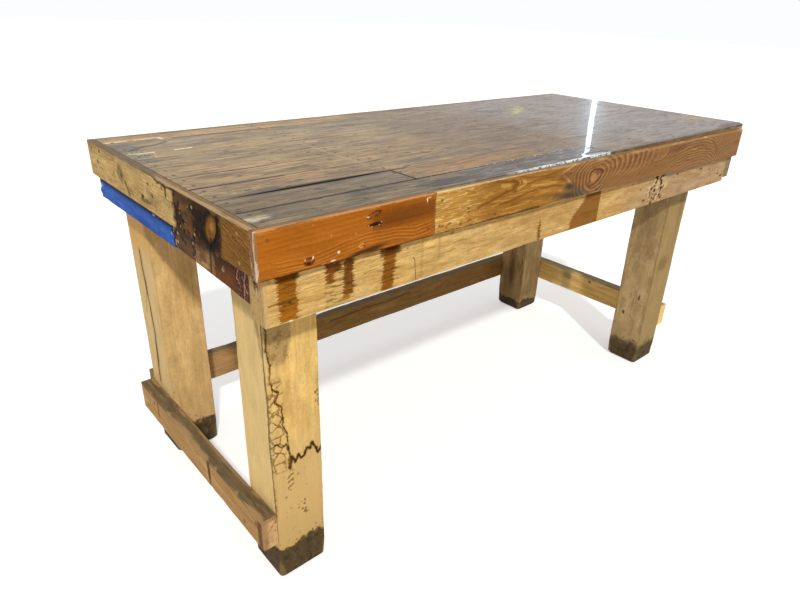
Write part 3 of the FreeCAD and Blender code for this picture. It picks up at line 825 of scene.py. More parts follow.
def golden_material():
    p = Paint("golden_edge_board", X, 3)
    p.start((186, 140, 72), 0.5)
    front = p.on(EDGE_BOARD_FRONT)
    p.view(X, Z, None, ragged=4, size=30)
    # One big knot in the middle of the board
    figure = flame(p, 16, 879, 19, 14.5, 8, 13.3, rise=26, spread=8)
    figure = figure + (p.noise(34, 4, 3, 0.55, 6.1) - 0.5) * 1.5
    saw = figure.op("FRACT")
    late = saw.power(1.6) * saw.step(1.0, 0.78) * (p.noise(26, 3, 2, 0.5, 16).step(0.3, 0.6) * 0.5 + 0.5)
    plain = p.a.step(50, 90) * p.b.step(876, 862)
    fade = p.a.step(-86, -70) * (1.0 - plain * 0.8) * p.a.step(390, 240)
    golden = p.a.step(-90, -140)
    p.blend(golden, (157, 105, 36), 0.85)
    p.blend(p.a.step(-370, -500), (206, 155, 76), 0.75)
    p.blend(p.a.step(-140, -90), (137, 94, 51), 0.9)
    p.blend(p.a.step(200, 420), (139, 98, 48), 0.6)
    p.blend((late * 1.7).clamp() * fade, (96, 54, 28), 0.68)
    p.blend(saw.step(0.5, 0.15) * fade, (186, 138, 86), 0.4)
    p.height = p.height + late * fade * 0.10
    # Long arcs over the right half, steeper towards the end, and fine lines over the left half
    bend, end = (p.a - 560) / 200, (p.a - 660).at_least(0.0) / 100
    arcs = (bend * bend * 40 + end * end * 25 + p.b) / 9.0
    arcs = (arcs + (p.noise(40, 4, 3, 0.6, 26) - 0.5) * 2.4).op("FRACT")
    far = p.a.step(370, 430) * (p.b.step(824, 852) * 0.6 + 0.4)
    p.blend((arcs.power(1.4) * arcs.step(1.0, 0.78) * 1.6).clamp() * far, (98, 58, 26), 0.5)
    p.blend(arcs.step(0.5, 0.1) * far, (190, 144, 92), 0.35)
    fine = (p.b / 6.0 + (p.noise(60, 4, 3, 0.6, 44) - 0.5) * 7.0).op("FRACT")
    p.blend(fine.step(0.5, 0.9) * fine.step(1.0, 0.92) * golden, (128, 80, 22), 0.4)
    wavy = p.noise(7, 11, 4, 0.6, 15, 0.9)
    p.blend(wavy.step(0.53, 0.64) * golden, (132, 78, 16), 0.4)
    p.blend(wavy.step(0.46, 0.36) * golden, (222, 168, 78), 0.45)
    p.blend(p.noise(5, 7, 3, 0.6, 35, 0.8).step(0.55, 0.62) * p.a.step(-380, -460), (244, 212, 140), 0.6)
    # The drawn figure: (tone, half width, strength, points)
    deep, brown, sand, rose = (112, 64, 14), (98, 58, 24), (230, 180, 98), (202, 154, 100)
    p.view(X, Z, front, ragged=3, size=26)
    p.spot((112, 68, 34), 440, 898, 58, 10, 0.6, edge=0.5)
    for tone, half, strength, points in (
            (deep, 3.4, 0.8, [(-368, 917), (-306, 909), (-289, 902), (-297, 893), (-348, 884), (-389, 874),
                              (-418, 869)]),
            (deep, 5.5, 0.7, [(-312, 911), (-296, 904), (-306, 893)]),
            (deep, 2.6, 0.6, [(-285, 916), (-252, 909), (-193, 905), (-156, 907), (-118, 914)]),
            (deep, 3.0, 0.6, [(-306, 883), (-264, 893), (-231, 898), (-193, 900), (-156, 896)]),
            (deep, 3.2, 0.7, [(-348, 863), (-298, 867), (-264, 874), (-210, 877), (-148, 875), (-118, 870)]),
            (deep, 2.4, 0.65, [(-164, 890), (-122, 886), (-114, 881)]),
            (deep, 2.2, 0.6, [(-310, 856), (-264, 859), (-231, 862)]),
            (deep, 2.6, 0.5, [(-473, 917), (-431, 905)]),
            (sand, 5.0, 0.5, [(-345, 905), (-318, 901)]),
            (sand, 3.5, 0.45, [(-272, 905), (-262, 898), (-290, 888)]),
            (sand, 3.2, 0.45, [(-240, 888), (-150, 884)]),
            (sand, 2.8, 0.6, [(-72, 918), (-122, 904), (-127, 898), (-104, 885), (-80, 868)]),
            (brown, 2.8, 0.5, [(500, 883), (541, 887), (587, 887), (624, 879), (666, 870)]),
            (brown, 2.6, 0.5, [(395, 874), (437, 876), (480, 880)]),
            (brown, 2.6, 0.55, [(312, 871), (353, 874), (378, 881), (392, 890)]),
            (brown, 5.0, 0.6, [(664, 903), (678, 886), (703, 872), (718, 856)]),
            (rose, 3.0, 0.35, [(370, 912), (382, 896), (372, 884), (345, 876), (320, 875)])):
        p.line(tone, points, half * 0.85, strength * 0.85, soft=0.8, uneven=half * 0.5)
    p.spot((144, 60, 24), 855, 871, 7, 9, 0.65, edge=0.6)
    p.texture(0.08, 0.08, 0.04, width=6)
    p.view(X, Z, front, ragged=4, size=9)
    for a, b, ra in ((-523, 848, 5), (-502, 849, 6), (-511, 843, 4), (-470, 842, 4), (-440, 846, 4)):
        p.spot((120, 70, 24), a, b, ra, 3.2, 0.65)
    p.spot((52, 32, 24), -90, 864, 19, 8, 0.8, edge=0.8)
    p.spot((120, 62, 44), -116, 893, 20, 10, 0.65)
    p.spot((44, 42, 40), -96, 841, 66, 9, 0.8, turn=-6, edge=0.9)
    p.spot((74, 70, 64), -52, 850, 44, 9, 0.6, turn=-22, edge=0.8)
    p.spot((184, 130, 80), 12, 871, 15, 13, 0.75)
    p.spot((122, 70, 42), 32, 885, 18, 6, 0.7)
    knot_rim = [(-4, 852), (-8, 870), (-5, 886), (8, 893), (40, 889), (53, 881), (38, 864), (17, 853),
                (-4, 852)]
    p.line((96, 46, 26), knot_rim, 2.6, 0.85, uneven=1.2)
    p.spot((232, 214, 184), 613, 913, 11, 2.4, 0.85)
    low_patch = p.a.step(310, 350) * p.b.step(846, 836) * p.a.step(440, 400)
    p.specks((62, 36, 16), 13, 0.2, 0.4, 0.8, area=low_patch, offset=4)
    p.box((240, 212, 160), -546, 110, 919.0, 926, 1.0, 0.6)
    p.box((206, 166, 112), 110, 890, 908, 913, 1.2, 0.3, lean=-119.0)
    # Painted shade: a dark band along the board's lower edge, where the gap above the apron lies in shade
    p.box((40, 26, 14), -546, 900, 812, 824.0, 2.4, 0.55)
    p.box((70, 44, 22), -548.5, -544, 825, 925, 0.8, 0.85)
    # Painted shade: the same dark band along the lower edge of the board's left part
    p.box((50, 32, 14), -546, -200, 828, 835.5, 1.6, 0.75)
    p.specks((70, 42, 18), 15, 0.16, 0.25, 0.7, squeeze=(0.5, 1, 1))
    p.view(X, Y, p.on(GOLDEN_BOARD_TOP), ragged=2.4, size=10)
    p.box((128, 116, 100), -560, 900, -424, -405, 2.5, 0.85)
    return p.finish(specular=0.06, edge_colour=(210, 170, 112), edge_strength=0.45)


def end_board_material():
    p = Paint("left_end_board", Y, 4)
    p.start((208, 175, 114), 0.65)
    p.grain((158, 116, 62), (226, 198, 142), ring_mm=8, contrast=0.35, centre=(-990, 700),
            slope=(0, 0.02), warp=12)
    p.weather([((176, 140, 86), 0.48, 0.64, 0.6, 0.6), ((222, 190, 134), 0.52, 0.66, 0.5, 0.4),
               ((160, 136, 94), 0.55, 0.66, 0.5, 0.25)])
    side = p.on(END_BOARD_SIDE)
    p.view(Y, Z, side, ragged=9, size=26)
    p.box((137, 89, 32), -440, -296, 825, 930, 12, 0.9)
    p.view(Y, Z, side, ragged=6, size=24)
    # Grain that climbs around the knot
    slant = (p.a * 0.35 - p.b) / 8.0 + (p.noise(26, 2, 3, 0.6, 12) - 0.5) * 3.0
    band = slant.op("FRACT")
    near_knot = p.a.step(-292, -312)
    p.mark((band.power(1.4) * band.step(1.0, 0.78) * 1.6).clamp() * near_knot, (80, 52, 20), 0.6, 0.2)
    p.mark(band.step(0.5, 0.1) * near_knot, (166, 120, 50), 0.35)
    p.view(Y, Z, side, ragged=16, size=22)
    p.box((70, 40, 16), -306, -104, 820, 930, 6, 0.92)
    p.box((29, 17, 9), -300, -190, 842, 925, 10, 0.92)
    p.spot((26, 18, 13), -126, 866, 20, 26, 0.8)
    p.spot((112, 70, 38), -166, 850, 30, 14, 0.75)
    p.spot((132, 90, 54), -150, 892, 26, 9, 0.55)
    p.spot((66, 44, 24), -210, 912, 60, 7, 0.7)
    p.box((140, 122, 88), 70, 430, 908, 930, 12, 0.5)
    p.spot((118, 96, 62), 190, 884, 20, 20, 0.65)
    p.spot((122, 110, 84), 20, 872, 22, 16, 0.4)
    p.texture(0.10, 0.10, 0.09, width=7, along=9)
    p.view(Y, Z, side, ragged=3.4, size=9)
    p.spot((18, 12, 8), -272, 882, 42, 29, 0.92, turn=-50, edge=0.5)
    p.spot((152, 103, 42), -271, 883, 27, 17, 0.9, turn=-50, edge=0.4)
    p.ring((96, 58, 20), -271, 883, 17, 10, 0.2, 0.5, turn=-50)
    p.spot((180, 130, 60), -276, 888, 10, 7, 0.6, turn=-50)
    p.line((12, 8, 6), [(-296, 925), (-299, 905), (-296, 884), (-284, 864), (-264, 846), (-256, 828)],
           4.4, 0.96, depth=1.2, uneven=2)
    char = p.a.step(-312, -290) * p.a.step(-92, -112)
    p.specks((176, 128, 78), 13, 0.36, 0.34, 0.75, area=char * p.a.step(-215, -195), offset=1)
    p.specks((222, 190, 152), 11, 0.30, 0.24, 0.9, area=p.a.step(-196, -182) * p.a.step(-112, -126), offset=5)
    p.specks((14, 10, 7), 14, 0.42, 0.4, 0.85, area=char, offset=9, depth=0.8)
    p.specks((84, 56, 30), 16, 0.34, 0.4, 0.6, area=char, offset=14)
    p.line((52, 32, 16), [(-70, 916), (-74, 906), (-72, 893)], 3.6, 0.9, uneven=1)
    p.line((62, 40, 20), [(-16, 921), (-34, 914), (-52, 917), (-66, 913), (-90, 915), (-130, 919),
                          (-200, 922)], 3.2, 0.85, uneven=2.4)
    p.spot((52, 44, 34), 62, 861, 9, 5, 0.9, turn=-20)
    p.spot((92, 78, 56), 44, 855, 34, 5, 0.75, turn=-4)
    p.line((80, 66, 44), [(164, 870), (158, 858), (146, 846)], 4, 0.8, uneven=2)
    p.line((126, 98, 56), [(196, 905), (184, 892), (170, 868), (120, 850)], 5, 0.45, uneven=4)
    p.specks((92, 62, 30), 34, 0.15, 0.5, 0.85, area=p.a.step(-100, -60), offset=2)
    p.specks((232, 206, 156), 26, 0.14, 0.4, 0.7, area=p.a.step(-100, -60), offset=7)
    # Painted shade: a dark band along the board's lower edge, where it overhangs the apron
    p.box((60, 42, 24), -440, 420, 826, 838, 1.8, 0.6)
    # The top edge is rubbed pale towards the front and grey with dirt towards the back
    p.view(Y, X, p.on(END_BOARD_TOP), ragged=4, size=12)
    p.box((136, 114, 86), -440, 430, -950, -910, 4, 0.85)
    p.box((192, 162, 124), -440, -20, -950, -935.5, 1.6, 0.85)
    p.box((126, 114, 94), 0, 430, -950, -910, 4, 0.8)
    p.streaks((112, 88, 62), 5, 12, 0.55, 0.06, 0.5, 3)
    return p.finish(specular=0.03, edge_colour=(188, 152, 104), edge_strength=0.3)


def apron_material():
    p = Paint("rough_front_apron", X, 5)
    p.start((227, 186, 113), 0.75)
    p.grain((176, 128, 64), (244, 214, 152), ring_mm=12, contrast=0.3, centre=(-700, 880), warp=22,
            bump_mm=0.15)
    front = p.on(APRON_FRONT)
    p.view(X, Z, front, ragged=12, size=60)
    p.mark(p.a.step(-600, -250), (198, 160, 102), 0.7)
    p.mark(p.a.step(100, 420), (176, 149, 121), 0.75)
    p.weather([((190, 146, 80), 0.52, 0.66, 0.45, 0.7), ((236, 206, 144), 0.54, 0.68, 0.4, 0.4)], along=5)
    p.texture(0.08, 0.10, 0.06, width=4.5, along=12)
    # Fine saw and grain lines that fall slightly to the left
    hatch = ((p.b - p.a * 0.11) / 3.4 + (p.noise(24, 8, 3, 0.6, 19) - 0.5) * 7.0).op("FRACT")
    p.blend(hatch.step(0.5, 0.95) * hatch.step(1.0, 0.95), (164, 120, 62), 0.4)
    p.streaks((150, 104, 48), 2.6, 20, 0.57, 0.06, 0.4, 11, depth=0.1)
    p.view(X, Z, front, ragged=2.2, size=9, comb=(19, 2.6))
    stain, deep, soaked = (155, 94, 14), (92, 50, 8), (180, 112, 20)
    p.box(stain, -897, -858, 725, 840, 1.4, 0.95, lean=-0.03)
    p.box(deep, -900, -853, 812, 840, 3, 0.85)
    p.box(soaked, -892, -862, 725, 752, 4, 0.6)
    p.box(deep, -797, -760, 806, 840, 1.6, 0.93, lean=0.15)
    p.box((128, 70, 18), -797, -778, 784, 816, 1.6, 0.93)
    p.box((110, 62, 14), -757, -734, 752, 840, 1.6, 0.93)
    p.box((148, 88, 24), -762, -742, 744, 754, 2.0, 0.85)
    p.box((136, 78, 8), -662, -632, 725, 840, 1.6, 0.95, lean=0.12)
    p.box(deep, -670, -618, 808, 840, 3, 0.85)
    p.spot((52, 30, 10), -640, 826, 18, 7, 0.75)
    p.spot((126, 76, 24), -167, 757, 6, 32, 0.9)
    # Darker streaks and a knotty patch inside the stains
    inside = p.a.step(-905, -892) * p.a.step(-850, -862) + p.a.step(-802, -794) * p.a.step(-728, -736)
    inside = inside + p.a.step(-672, -664) * p.a.step(-618, -628)
    p.mark(p.noise(5, 9, 4, 0.7, 61).step(0.50, 0.60) * inside, (76, 40, 4), 0.6)
    p.mark(p.noise(7, 6, 3, 0.6, 65).step(0.56, 0.66) * inside * p.b.step(812, 800), (196, 128, 44), 0.35)
    seep = p.distance(-874, 775, 15, 12).step(1.2, 0.8)
    p.specks((64, 46, 22), 9, 0.3, 0.5, 0.8, area=seep, squeeze=(0.6, 1, 1))
    p.view(X, Z, front, ragged=3.5, size=10, comb=(24, 3.0))
    lower = p.b.step(824, 750)
    wedge = (p.a - 22 + (lower * 62)).step(-2, 3)
    p.view(X, Z, front, ragged=1.2, size=30)
    p.mark(wedge * p.a.step(91, 87), (140, 92, 36), 0.92)
    p.box((92, 56, 24), 14, 90, 812, 838, 8, 0.6)
    p.mark(p.noise(8, 8, 3, 0.6, 71).step(0.52, 0.64) * wedge * p.a.step(91, 87), (112, 66, 20), 0.4)
    p.view(X, Z, front, ragged=1.8, size=7)
    p.line((92, 58, 24), [(-584, 788), (-579, 784), (-577, 765), (-573, 733)], 1.1, 0.8, depth=0.3,
           uneven=0.8)
    p.line((120, 84, 40), [(-916, 775), (-894, 777)], 1.8, 0.8, uneven=1)
    p.box((158, 118, 62), -562, -556, 725, 838, 4, 0.4)
    p.box((158, 118, 62), -512, -506, 770, 838, 4, 0.4)
    # Worm holes with pale broken edges, in two columns
    left_column = p.distance(378, 785, 22, 60).step(1.15, 0.85)
    right_column = p.distance(424, 795, 16, 58).step(1.15, 0.85)
    columns = left_column.at_least(right_column)
    near = p.distance(400, 790, 58, 64).step(1.2, 0.8)
    p.specks((232, 202, 146), 13, 0.52, 0.5, 0.6, area=near, offset=4.1)
    p.specks((46, 26, 8), 12, 0.44, 0.85, 0.95, area=columns, offset=4, depth=0.6, squeeze=(0.8, 1, 0.9))
    p.specks((86, 54, 22), 15, 0.24, 0.4, 0.85, area=near, offset=11, depth=0.4)
    for a, b, ra in ((513, 806, 7), (673, 801, 10), (733, 791, 8), (810, 765, 7), (837, 756, 10),
                     (725, 796, 4), (330, 752, 9), (300, 790, 3), (252, 812, 3)):
        p.spot((92, 62, 26), a, b, ra, 3.4, 0.85)
    p.specks((104, 70, 32), 22, 0.16, 0.5, 0.8, area=p.exact[0].step(640, 700), offset=7)
    p.specks((140, 98, 48), 30, 0.1, 0.35, 0.7, offset=17, squeeze=(0.5, 1, 1))
    # Painted shadow: a dark band along the top of the apron, under the overhanging edge boards
    p.box((36, 22, 10), -930, 870, 826, 838, 3.2, 0.85)
    # Painted highlight: a pale line along the apron's lower edge
    p.box((250, 222, 156), -925, 100, 731, 735.6, 1.0, 0.6)
    p.spot((252, 238, 206), -874, 734.5, 5, 2.5, 0.9)
    p.view(Y, Z, p.on(APRON_LEFT), ragged=3, size=12)
    p.box((204, 172, 122), -420, -360, 725, 890, 2, 0.75)
    for y in (-404, -394, -376, -368):
        p.line((158, 118, 70), [(y, 884), (y + 2, 810), (y - 1, 733)], 1.3, 0.45, uneven=1.2)
    p.specks((150, 108, 62), 12, 0.26, 0.2, 0.5, offset=2)
    p.spot((110, 74, 40), -388, 806, 8, 11, 0.75)
    p.spot((232, 210, 184), -390, 799, 3, 7, 0.85)
    p.spot((64, 42, 26), -384, 815, 6, 4, 0.85)
    return p.finish(specular=0.04, edge_colour=(160, 118, 66), edge_strength=0.3)


def end_apron_material(name, seed, left):
    p = Paint(name, Y, seed)
    p.start((150, 112, 68), 0.75)
    pith_x = -1100 if left else 700
    p.grain((104, 66, 34), (182, 146, 100), ring_mm=6, contrast=0.45, centre=(pith_x, 640), warp=9)
    p.weather([((112, 78, 46), 0.46, 0.66, 0.6, 0.7), ((176, 140, 96), 0.55, 0.7, 0.4, 0.5)])
    if left:
        side = p.on(APRON_LEFT)
        p.view(Y, Z, side, ragged=8, size=16)
        p.box((62, 26, 14), -370, -308, 730, 890, 4, 0.92)
        p.box((88, 46, 12), -312, -224, 730, 890, 5, 0.92)
        p.box((132, 74, 20), -300, -232, 752, 788, 6, 0.6)
        p.box((46, 26, 10), -312, -226, 812, 890, 6, 0.75)
        p.box((150, 112, 66), -226, -146, 730, 820, 6, 0.8)
        p.box((88, 60, 34), -146, -38, 730, 890, 6, 0.85)
        p.box((40, 28, 18), -230, -30, 812, 890, 7, 0.85)
    else:
        p.view(X, Z, p.on(APRON_FRONT), ragged=2, size=10)
        p.box((132, 120, 86), 855, 905, 725, 890, 2, 0.9)
        p.specks((84, 72, 48), 10, 0.3, 0.4, 0.7)
    p.texture(0.13, 0.12, 0.09, width=6, along=8)
    if left:
        p.view(Y, Z, side, ragged=5, size=7)
        streak = p.a.step(-364, -352) * p.a.step(-304, -318)
        vertical = p.noise(5, 0.9, 3, 0.6, 70)
        p.mark(vertical.step(0.52, 0.60) * streak, (176, 116, 90), 0.5)
        for a, tilt, top_end, low_end in ((-352, 8, 822, 782), (-339, -5, 810, 764), (-324, 9, 818, 792)):
            p.line((218, 172, 148), [(a, top_end), (a + tilt, 798), (a - 2, low_end)], 1.3, 0.6, uneven=2)
            p.line((28, 10, 6), [(a + 5, top_end), (a + 5 + tilt, 795), (a + 4, low_end)], 2.2, 0.8, uneven=2)
        p.spot((236, 224, 208), -263, 797, 4.5, 4.5, 0.9)
        p.line((44, 26, 12), [(-212, 838), (-214, 810), (-208, 772)], 4, 0.85, uneven=3)
        p.spot((70, 44, 22), -176, 792, 16, 11, 0.6)
        p.spot((196, 156, 104), -180, 780, 20, 6, 0.6)
        rotten = p.exact[0].step(-152, -140) * p.exact[0].step(-30, -44)
        p.specks((206, 168, 122), 12, 0.34, 0.34, 0.8, area=rotten, offset=3)
        p.specks((28, 18, 12), 14, 0.42, 0.42, 0.9, area=rotten, offset=5, depth=0.8)
        p.specks((40, 24, 12), 16, 0.3, 0.3, 0.8, area=p.exact[0].step(-230, -220), offset=9)
        p.box((70, 48, 28), -60, 430, 756, 772, 3, 0.5)
    return p.finish(specular=0.12, edge_colour=(170, 138, 96), edge_strength=0.35)


def leg_material(name, seed, base, dark, light, foot, foot_z, marks, foot_colour=(66, 54, 37), comb=1.3,
                 outline=0.6, soft=9):
    """A post's wood, wet and dark below about foot_z; foot is the colour of the stain's outline."""
    p = Paint(name, Z, seed)
    p.start(base, 0.72)
    pith = (seed * 31 % 90 - 1000, seed * 47 % 120 - 500)
    p.grain(dark, light, ring_mm=14, contrast=0.22, centre=pith, warp=24, bump_mm=0.12)
    p.weather([(dark, 0.52, 0.7, 0.35, 0.8), (light, 0.52, 0.68, 0.35, 0.5)], along=2.2)
    p.texture(0.055, 0.08, 0.055, width=9, along=7)
    p.specks([c * 0.72 for c in base], 8, 0.26, 0.35, 0.25, offset=31, squeeze=(1, 1, 0.7))
    marks(p)
    p.view(X, Z, None, ragged=0)
    edge = p.b + (p.noise(13, comb, 4, 0.7, 13) - 0.5) * 44 + (p.noise(40, 0.8, 2, 0.5, 23) - 0.5) * 46
    p.mark(edge.step(foot_z + 150, foot_z), [c * 0.8 for c in base], 0.5)
    p.specks((70, 50, 26), 9, 0.3, 0.4, 0.75, area=edge.step(foot_z + 60, foot_z + 4), offset=5)
    p.mark(edge.step(foot_z + soft, foot_z - soft * 0.6), foot_colour, 0.93)
    inside = edge.step(foot_z, foot_z - 12)
    p.mark(p.noise(18, 1.5, 3, 0.65, 17).step(0.5, 0.62) * inside, (52, 42, 30), 0.6)
    p.mark(p.noise(12, 1.8, 3, 0.65, 27).step(0.56, 0.66) * inside, (112, 98, 76), 0.5)
    p.mark((edge - foot_z - 1).abs().step(8, 3), foot, outline)
    p.mark(p.z.step(8, 2), (40, 34, 26), 0.7)
    return p.finish(specular=0.05, edge_colour=[c * 0.74 for c in base], edge_strength=0.3)


def front_left_marks(p):
    ink, black = (104, 66, 26), (48, 30, 12)
    front = p.on(FRONT_LEGS_FRONT)
    side = p.on(LEFT_LEGS_SIDE)
    # Painted light: the left face is made lighter than the front face
    p.blend(side, (244, 216, 158), 0.5)
    p.view(X, Z, front, ragged=6, size=22)
    p.mark(p.b.step(520, 230), (206, 171, 112), 0.85)
    p.spot((164, 134, 88), -857, 660, 31, 70, 0.7, edge=0.18)
    # Painted shade: a darker band at the top of the front face, under the apron
    p.box((132, 110, 74), -890, -770, 706, 745, 14, 0.4)
    flecks = p.noise(11, 1.2, 3, 0.65, 75).step(0.5, 0.6) * p.distance(-857, 660, 31, 70).step(1.1, 0.9)
    p.mark(flecks, (116, 82, 42), 0.5)
    p.view(X, Z, front, ragged=5, size=8)
    left = [(-882, 716), (-880, 680), (-883, 640), (-877, 600), (-880, 560), (-872, 538), (-862, 528),
            (-872, 505), (-857, 490), (-856, 440), (-848, 418), (-846, 380), (-843, 345), (-846, 322)]
    p.line(ink, left, 2.4, 0.75, depth=0.2, uneven=2.6)
    p.line(black, left, 1.1, 0.75, uneven=1.6)
    p.cells(ink, 22, 1.6, p.a.step(-850, -858) * p.b.step(312, 330) * p.b.step(572, 548), 0.75)
    p.line(black, [(-884, 398), (-872, 400), (-864, 388), (-852, 392), (-846, 372)], 2.4, 0.8, uneven=1.6)
    zig = [(-846, 322), (-840, 352), (-832, 332), (-824, 350), (-816, 336), (-808, 340), (-801, 356),
           (-793, 350), (-787, 366), (-780, 350), (-772, 330), (-763, 342)]
    p.line(ink, zig, 4.4, 0.75, depth=0.2, uneven=2.0)
    p.line(black, zig, 2.6, 0.9, uneven=1.4)
    p.spot(ink, -846, 335, 5, 20, 0.8)
    for b in (300, 287, 272):
        p.line(ink, [(-853, b - 4), (-840, b + 4)], 2.2, 0.75, uneven=1.2)
    p.specks((76, 52, 26), 9, 0.4, 0.45, 0.85, area=p.distance(-815, 196, 16, 28).step(1.2, 0.7))
    p.specks((112, 72, 32), 9, 0.4, 0.6, 0.8, area=p.distance(-766, 488, 11, 46).step(1.2, 0.7), offset=4)
    p.specks((118, 86, 46), 11, 0.28, 0.3, 0.7, area=p.distance(-840, 250, 40, 80).step(1.3, 0.4), offset=8)
    p.view(Y, Z, side, ragged=5, size=11)
    edge = [(-319, 720), (-316, 600), (-320, 500), (-315, 400), (-319, 300), (-320, 200)]
    p.line((92, 66, 38), edge, 2.6, 0.85, depth=0.5, uneven=2)
    p.line((150, 118, 72), [(-298, 700), (-312, 620)], 6, 0.5, uneven=3)
    # Painted shade: a darker band at the top of the left face, under the end apron
    p.box((150, 128, 88), -330, -190, 700, 780, 14, 0.4)


def back_left_marks(p):
    side = p.on(LEFT_LEGS_SIDE)
    # Painted light: the left face is made lighter than the front face
    p.blend(side, (228, 202, 148), 0.5)
    p.view(Y, Z, side, ragged=3.5, size=24)
    # Painted shade: a warm brown band near the top of the left face, shade under the top warmed by light
    # bounced off the boards
    p.box((222, 158, 68), 260, 400, 640, 790, 30, 0.5)
    crack = [(332, 640), (331, 596), (324, 520), (318, 440), (316, 400), (325, 330), (333, 270), (336, 229)]
    p.line((170, 136, 88), crack, 11, 0.45)
    p.line((84, 56, 28), crack, 3.4, 0.9, depth=1.2, uneven=1.4)
    p.line((150, 116, 72), [(330, 520), (345, 480), (352, 450)], 2.4, 0.7, uneven=1)
    p.view(X, Z, p.on(BACK_LEGS_FRONT), ragged=12, size=40)
    p.spot((166, 126, 70), -800, 560, 30, 60, 0.4, edge=0.8)
    p.spot((150, 114, 64), -790, 300, 20, 80, 0.35, edge=0.8)


def front_right_marks(p):
    p.view(Y, Z, p.on(RIGHT_LEGS_SIDE), ragged=5, size=14)
    p.mark(p.noise(34, 2, 4, 0.65, 85).step(0.48, 0.62), (150, 124, 84), 0.5)
    p.mark(p.noise(20, 2, 3, 0.6, 89).step(0.54, 0.66), (214, 186, 138), 0.4)
    p.spot((84, 54, 28), -287, 277, 4, 13, 0.85)
    p.spot((62, 44, 26), -236, 199, 6, 9, 0.85)
    p.spot((118, 98, 66), -265, 560, 34, 130, 0.4, edge=0.8)
    p.spot((112, 92, 62), -240, 680, 50, 40, 0.5, edge=0.7)
    p.spot((190, 152, 108), -258, 330, 30, 50, 0.3, edge=0.8)
    p.line((196, 150, 116), [(-271, 84), (-272, 60), (-270, 34)], 4, 0.6, uneven=2)
    p.view(X, Z, p.on(FRONT_LEGS_FRONT), ragged=8, size=30)
    # Painted shade: the whole front face is made darker than the left face
    p.mark(p.number(1.0), (141, 117, 71), 0.65)
    p.spot((96, 72, 38), 748, 420, 34, 26, 0.45, turn=30, edge=0.6)
    p.spot((124, 104, 70), 790, 620, 14, 160, 0.4, edge=0.8)


def back_right_marks(p):
    p.view(Y, Z, p.on(RIGHT_LEGS_SIDE), ragged=8, size=22)
    # Painted shade: the whole left face is made darker, where it lies in the shade of the table
    p.box((148, 108, 58), 260, 400, -5, 890, 4, 0.5)
    p.mark(p.noise(15, 7, 3, 0.6, 79).step(0.54, 0.62), (82, 54, 26), 0.55)
    p.spot((62, 38, 18), 330, 160, 20, 110, 0.7, edge=0.7)
    p.spot((76, 46, 24), 360, 100, 14, 70, 0.6, edge=0.6)
    p.line((170, 132, 108), [(348, 170), (347, 120)], 4, 0.5, uneven=2)
    p.view(X, Z, p.on(BACK_LEGS_FRONT), ragged=4, size=14)
    p.mark(p.noise(9, 12, 3, 0.6, 77).step(0.54, 0.64), (164, 134, 92), 0.45)
    p.mark(p.noise(11, 10, 3, 0.6, 83).step(0.53, 0.66), (224, 200, 160), 0.6)


def stretcher_material(name, axis, seed, base, dark, light, marks=None):
    p = Paint(name, axis, seed)
    p.start(base, 0.72)
    centre = {X: (500, -60), Y: (-1010, -80)}[axis]
    p.grain(dark, light, ring_mm=7, contrast=0.4, centre=centre, slope=(0.004, 0.01), warp=9)
    p.weather([(dark, 0.52, 0.68, 0.4, 0.7), (light, 0.54, 0.68, 0.4, 0.4)], along=4)
    if marks:
        marks(p)
    p.texture(0.09, 0.08, 0.04, width=7, along=16)
    return p.finish(specular=0.12, edge_colour=light, edge_strength=0.4)


def left_stretcher_marks(p):
    p.view(Y, Z, p.on(LEFT_STRETCHER_SIDE), ragged=5, size=12)
    p.box((78, 42, 16), -60, -44, 150, 215, 3, 0.9)
    p.box((96, 56, 22), -56, -46, 116, 160, 3, 0.85)
    p.box((104, 66, 30), 270, 280, 150, 215, 3, 0.85)
    p.box((98, 58, 22), -330, -300, 110, 215, 5, 0.85)
    p.box((112, 82, 44), -330, 410, 202, 215, 3, 0.6)
    p.line((120, 84, 42), [(-300, 176), (-160, 168), (-70, 172)], 1.8, 0.6, uneven=2)
    p.view(X, Y, p.on(LEFT_STRETCHER_TOP), ragged=6, size=20)
    p.box((112, 96, 70), -935, -880, -335, 415, 2, 0.88)
    p.mark(p.noise(12, 8, 4, 0.65, 43).step(0.48, 0.62), (78, 66, 48), 0.5)
    p.mark(p.noise(9, 10, 3, 0.65, 47).step(0.56, 0.66), (156, 138, 108), 0.35)
    p.view(X, Z, p.on(LEFT_STRETCHER_END), ragged=4, size=12)
    p.box((204, 160, 116), -930, -884, 118, 213, 2, 0.85)
    p.box((98, 56, 22), -926, -912, 118, 213, 5, 0.75)
    p.box((84, 46, 18), -930, -884, 200, 213, 4, 0.7)
    p.specks((112, 70, 42), 10, 0.36, 0.4, 0.75, offset=2)
    p.line((120, 80, 48), [(-925, 150), (-905, 180), (-888, 200)], 1.6, 0.7)


def right_stretcher_marks(p):
    p.view(Y, Z, p.on(RIGHT_STRETCHER_SIDE), ragged=4, size=12)
    p.spot((88, 60, 32), 5, 206, 6, 6, 0.8)
    p.box((128, 114, 84), 100, 146, 130, 225, 10, 0.5)
    p.spot((110, 96, 66), 118, 196, 20, 14, 0.5)
    p.view(X, Y, p.on(RIGHT_STRETCHER_TOP), ragged=3, size=12)
    p.box((150, 140, 116), 815, 865, -330, 400, 2, 0.8)


def rear_stretcher_marks(p):
    p.view(X, Z, p.on(REAR_STRETCHER_FRONT), ragged=4, size=30)
    # Painted light: the left part of the front face is made lighter, where light reaches in under the table
    p.mark(p.a.step(-520, -700), (196, 154, 108), 0.7)
    p.line((52, 34, 20), [(-250, 198), (-100, 204), (20, 200), (140, 206)], 1.8, 0.8, depth=0.4)
    p.view(X, Y, p.on(REAR_STRETCHER_TOP), ragged=3, size=12)
    p.box((122, 108, 84), -890, 825, 385, 435, 2, 0.7)


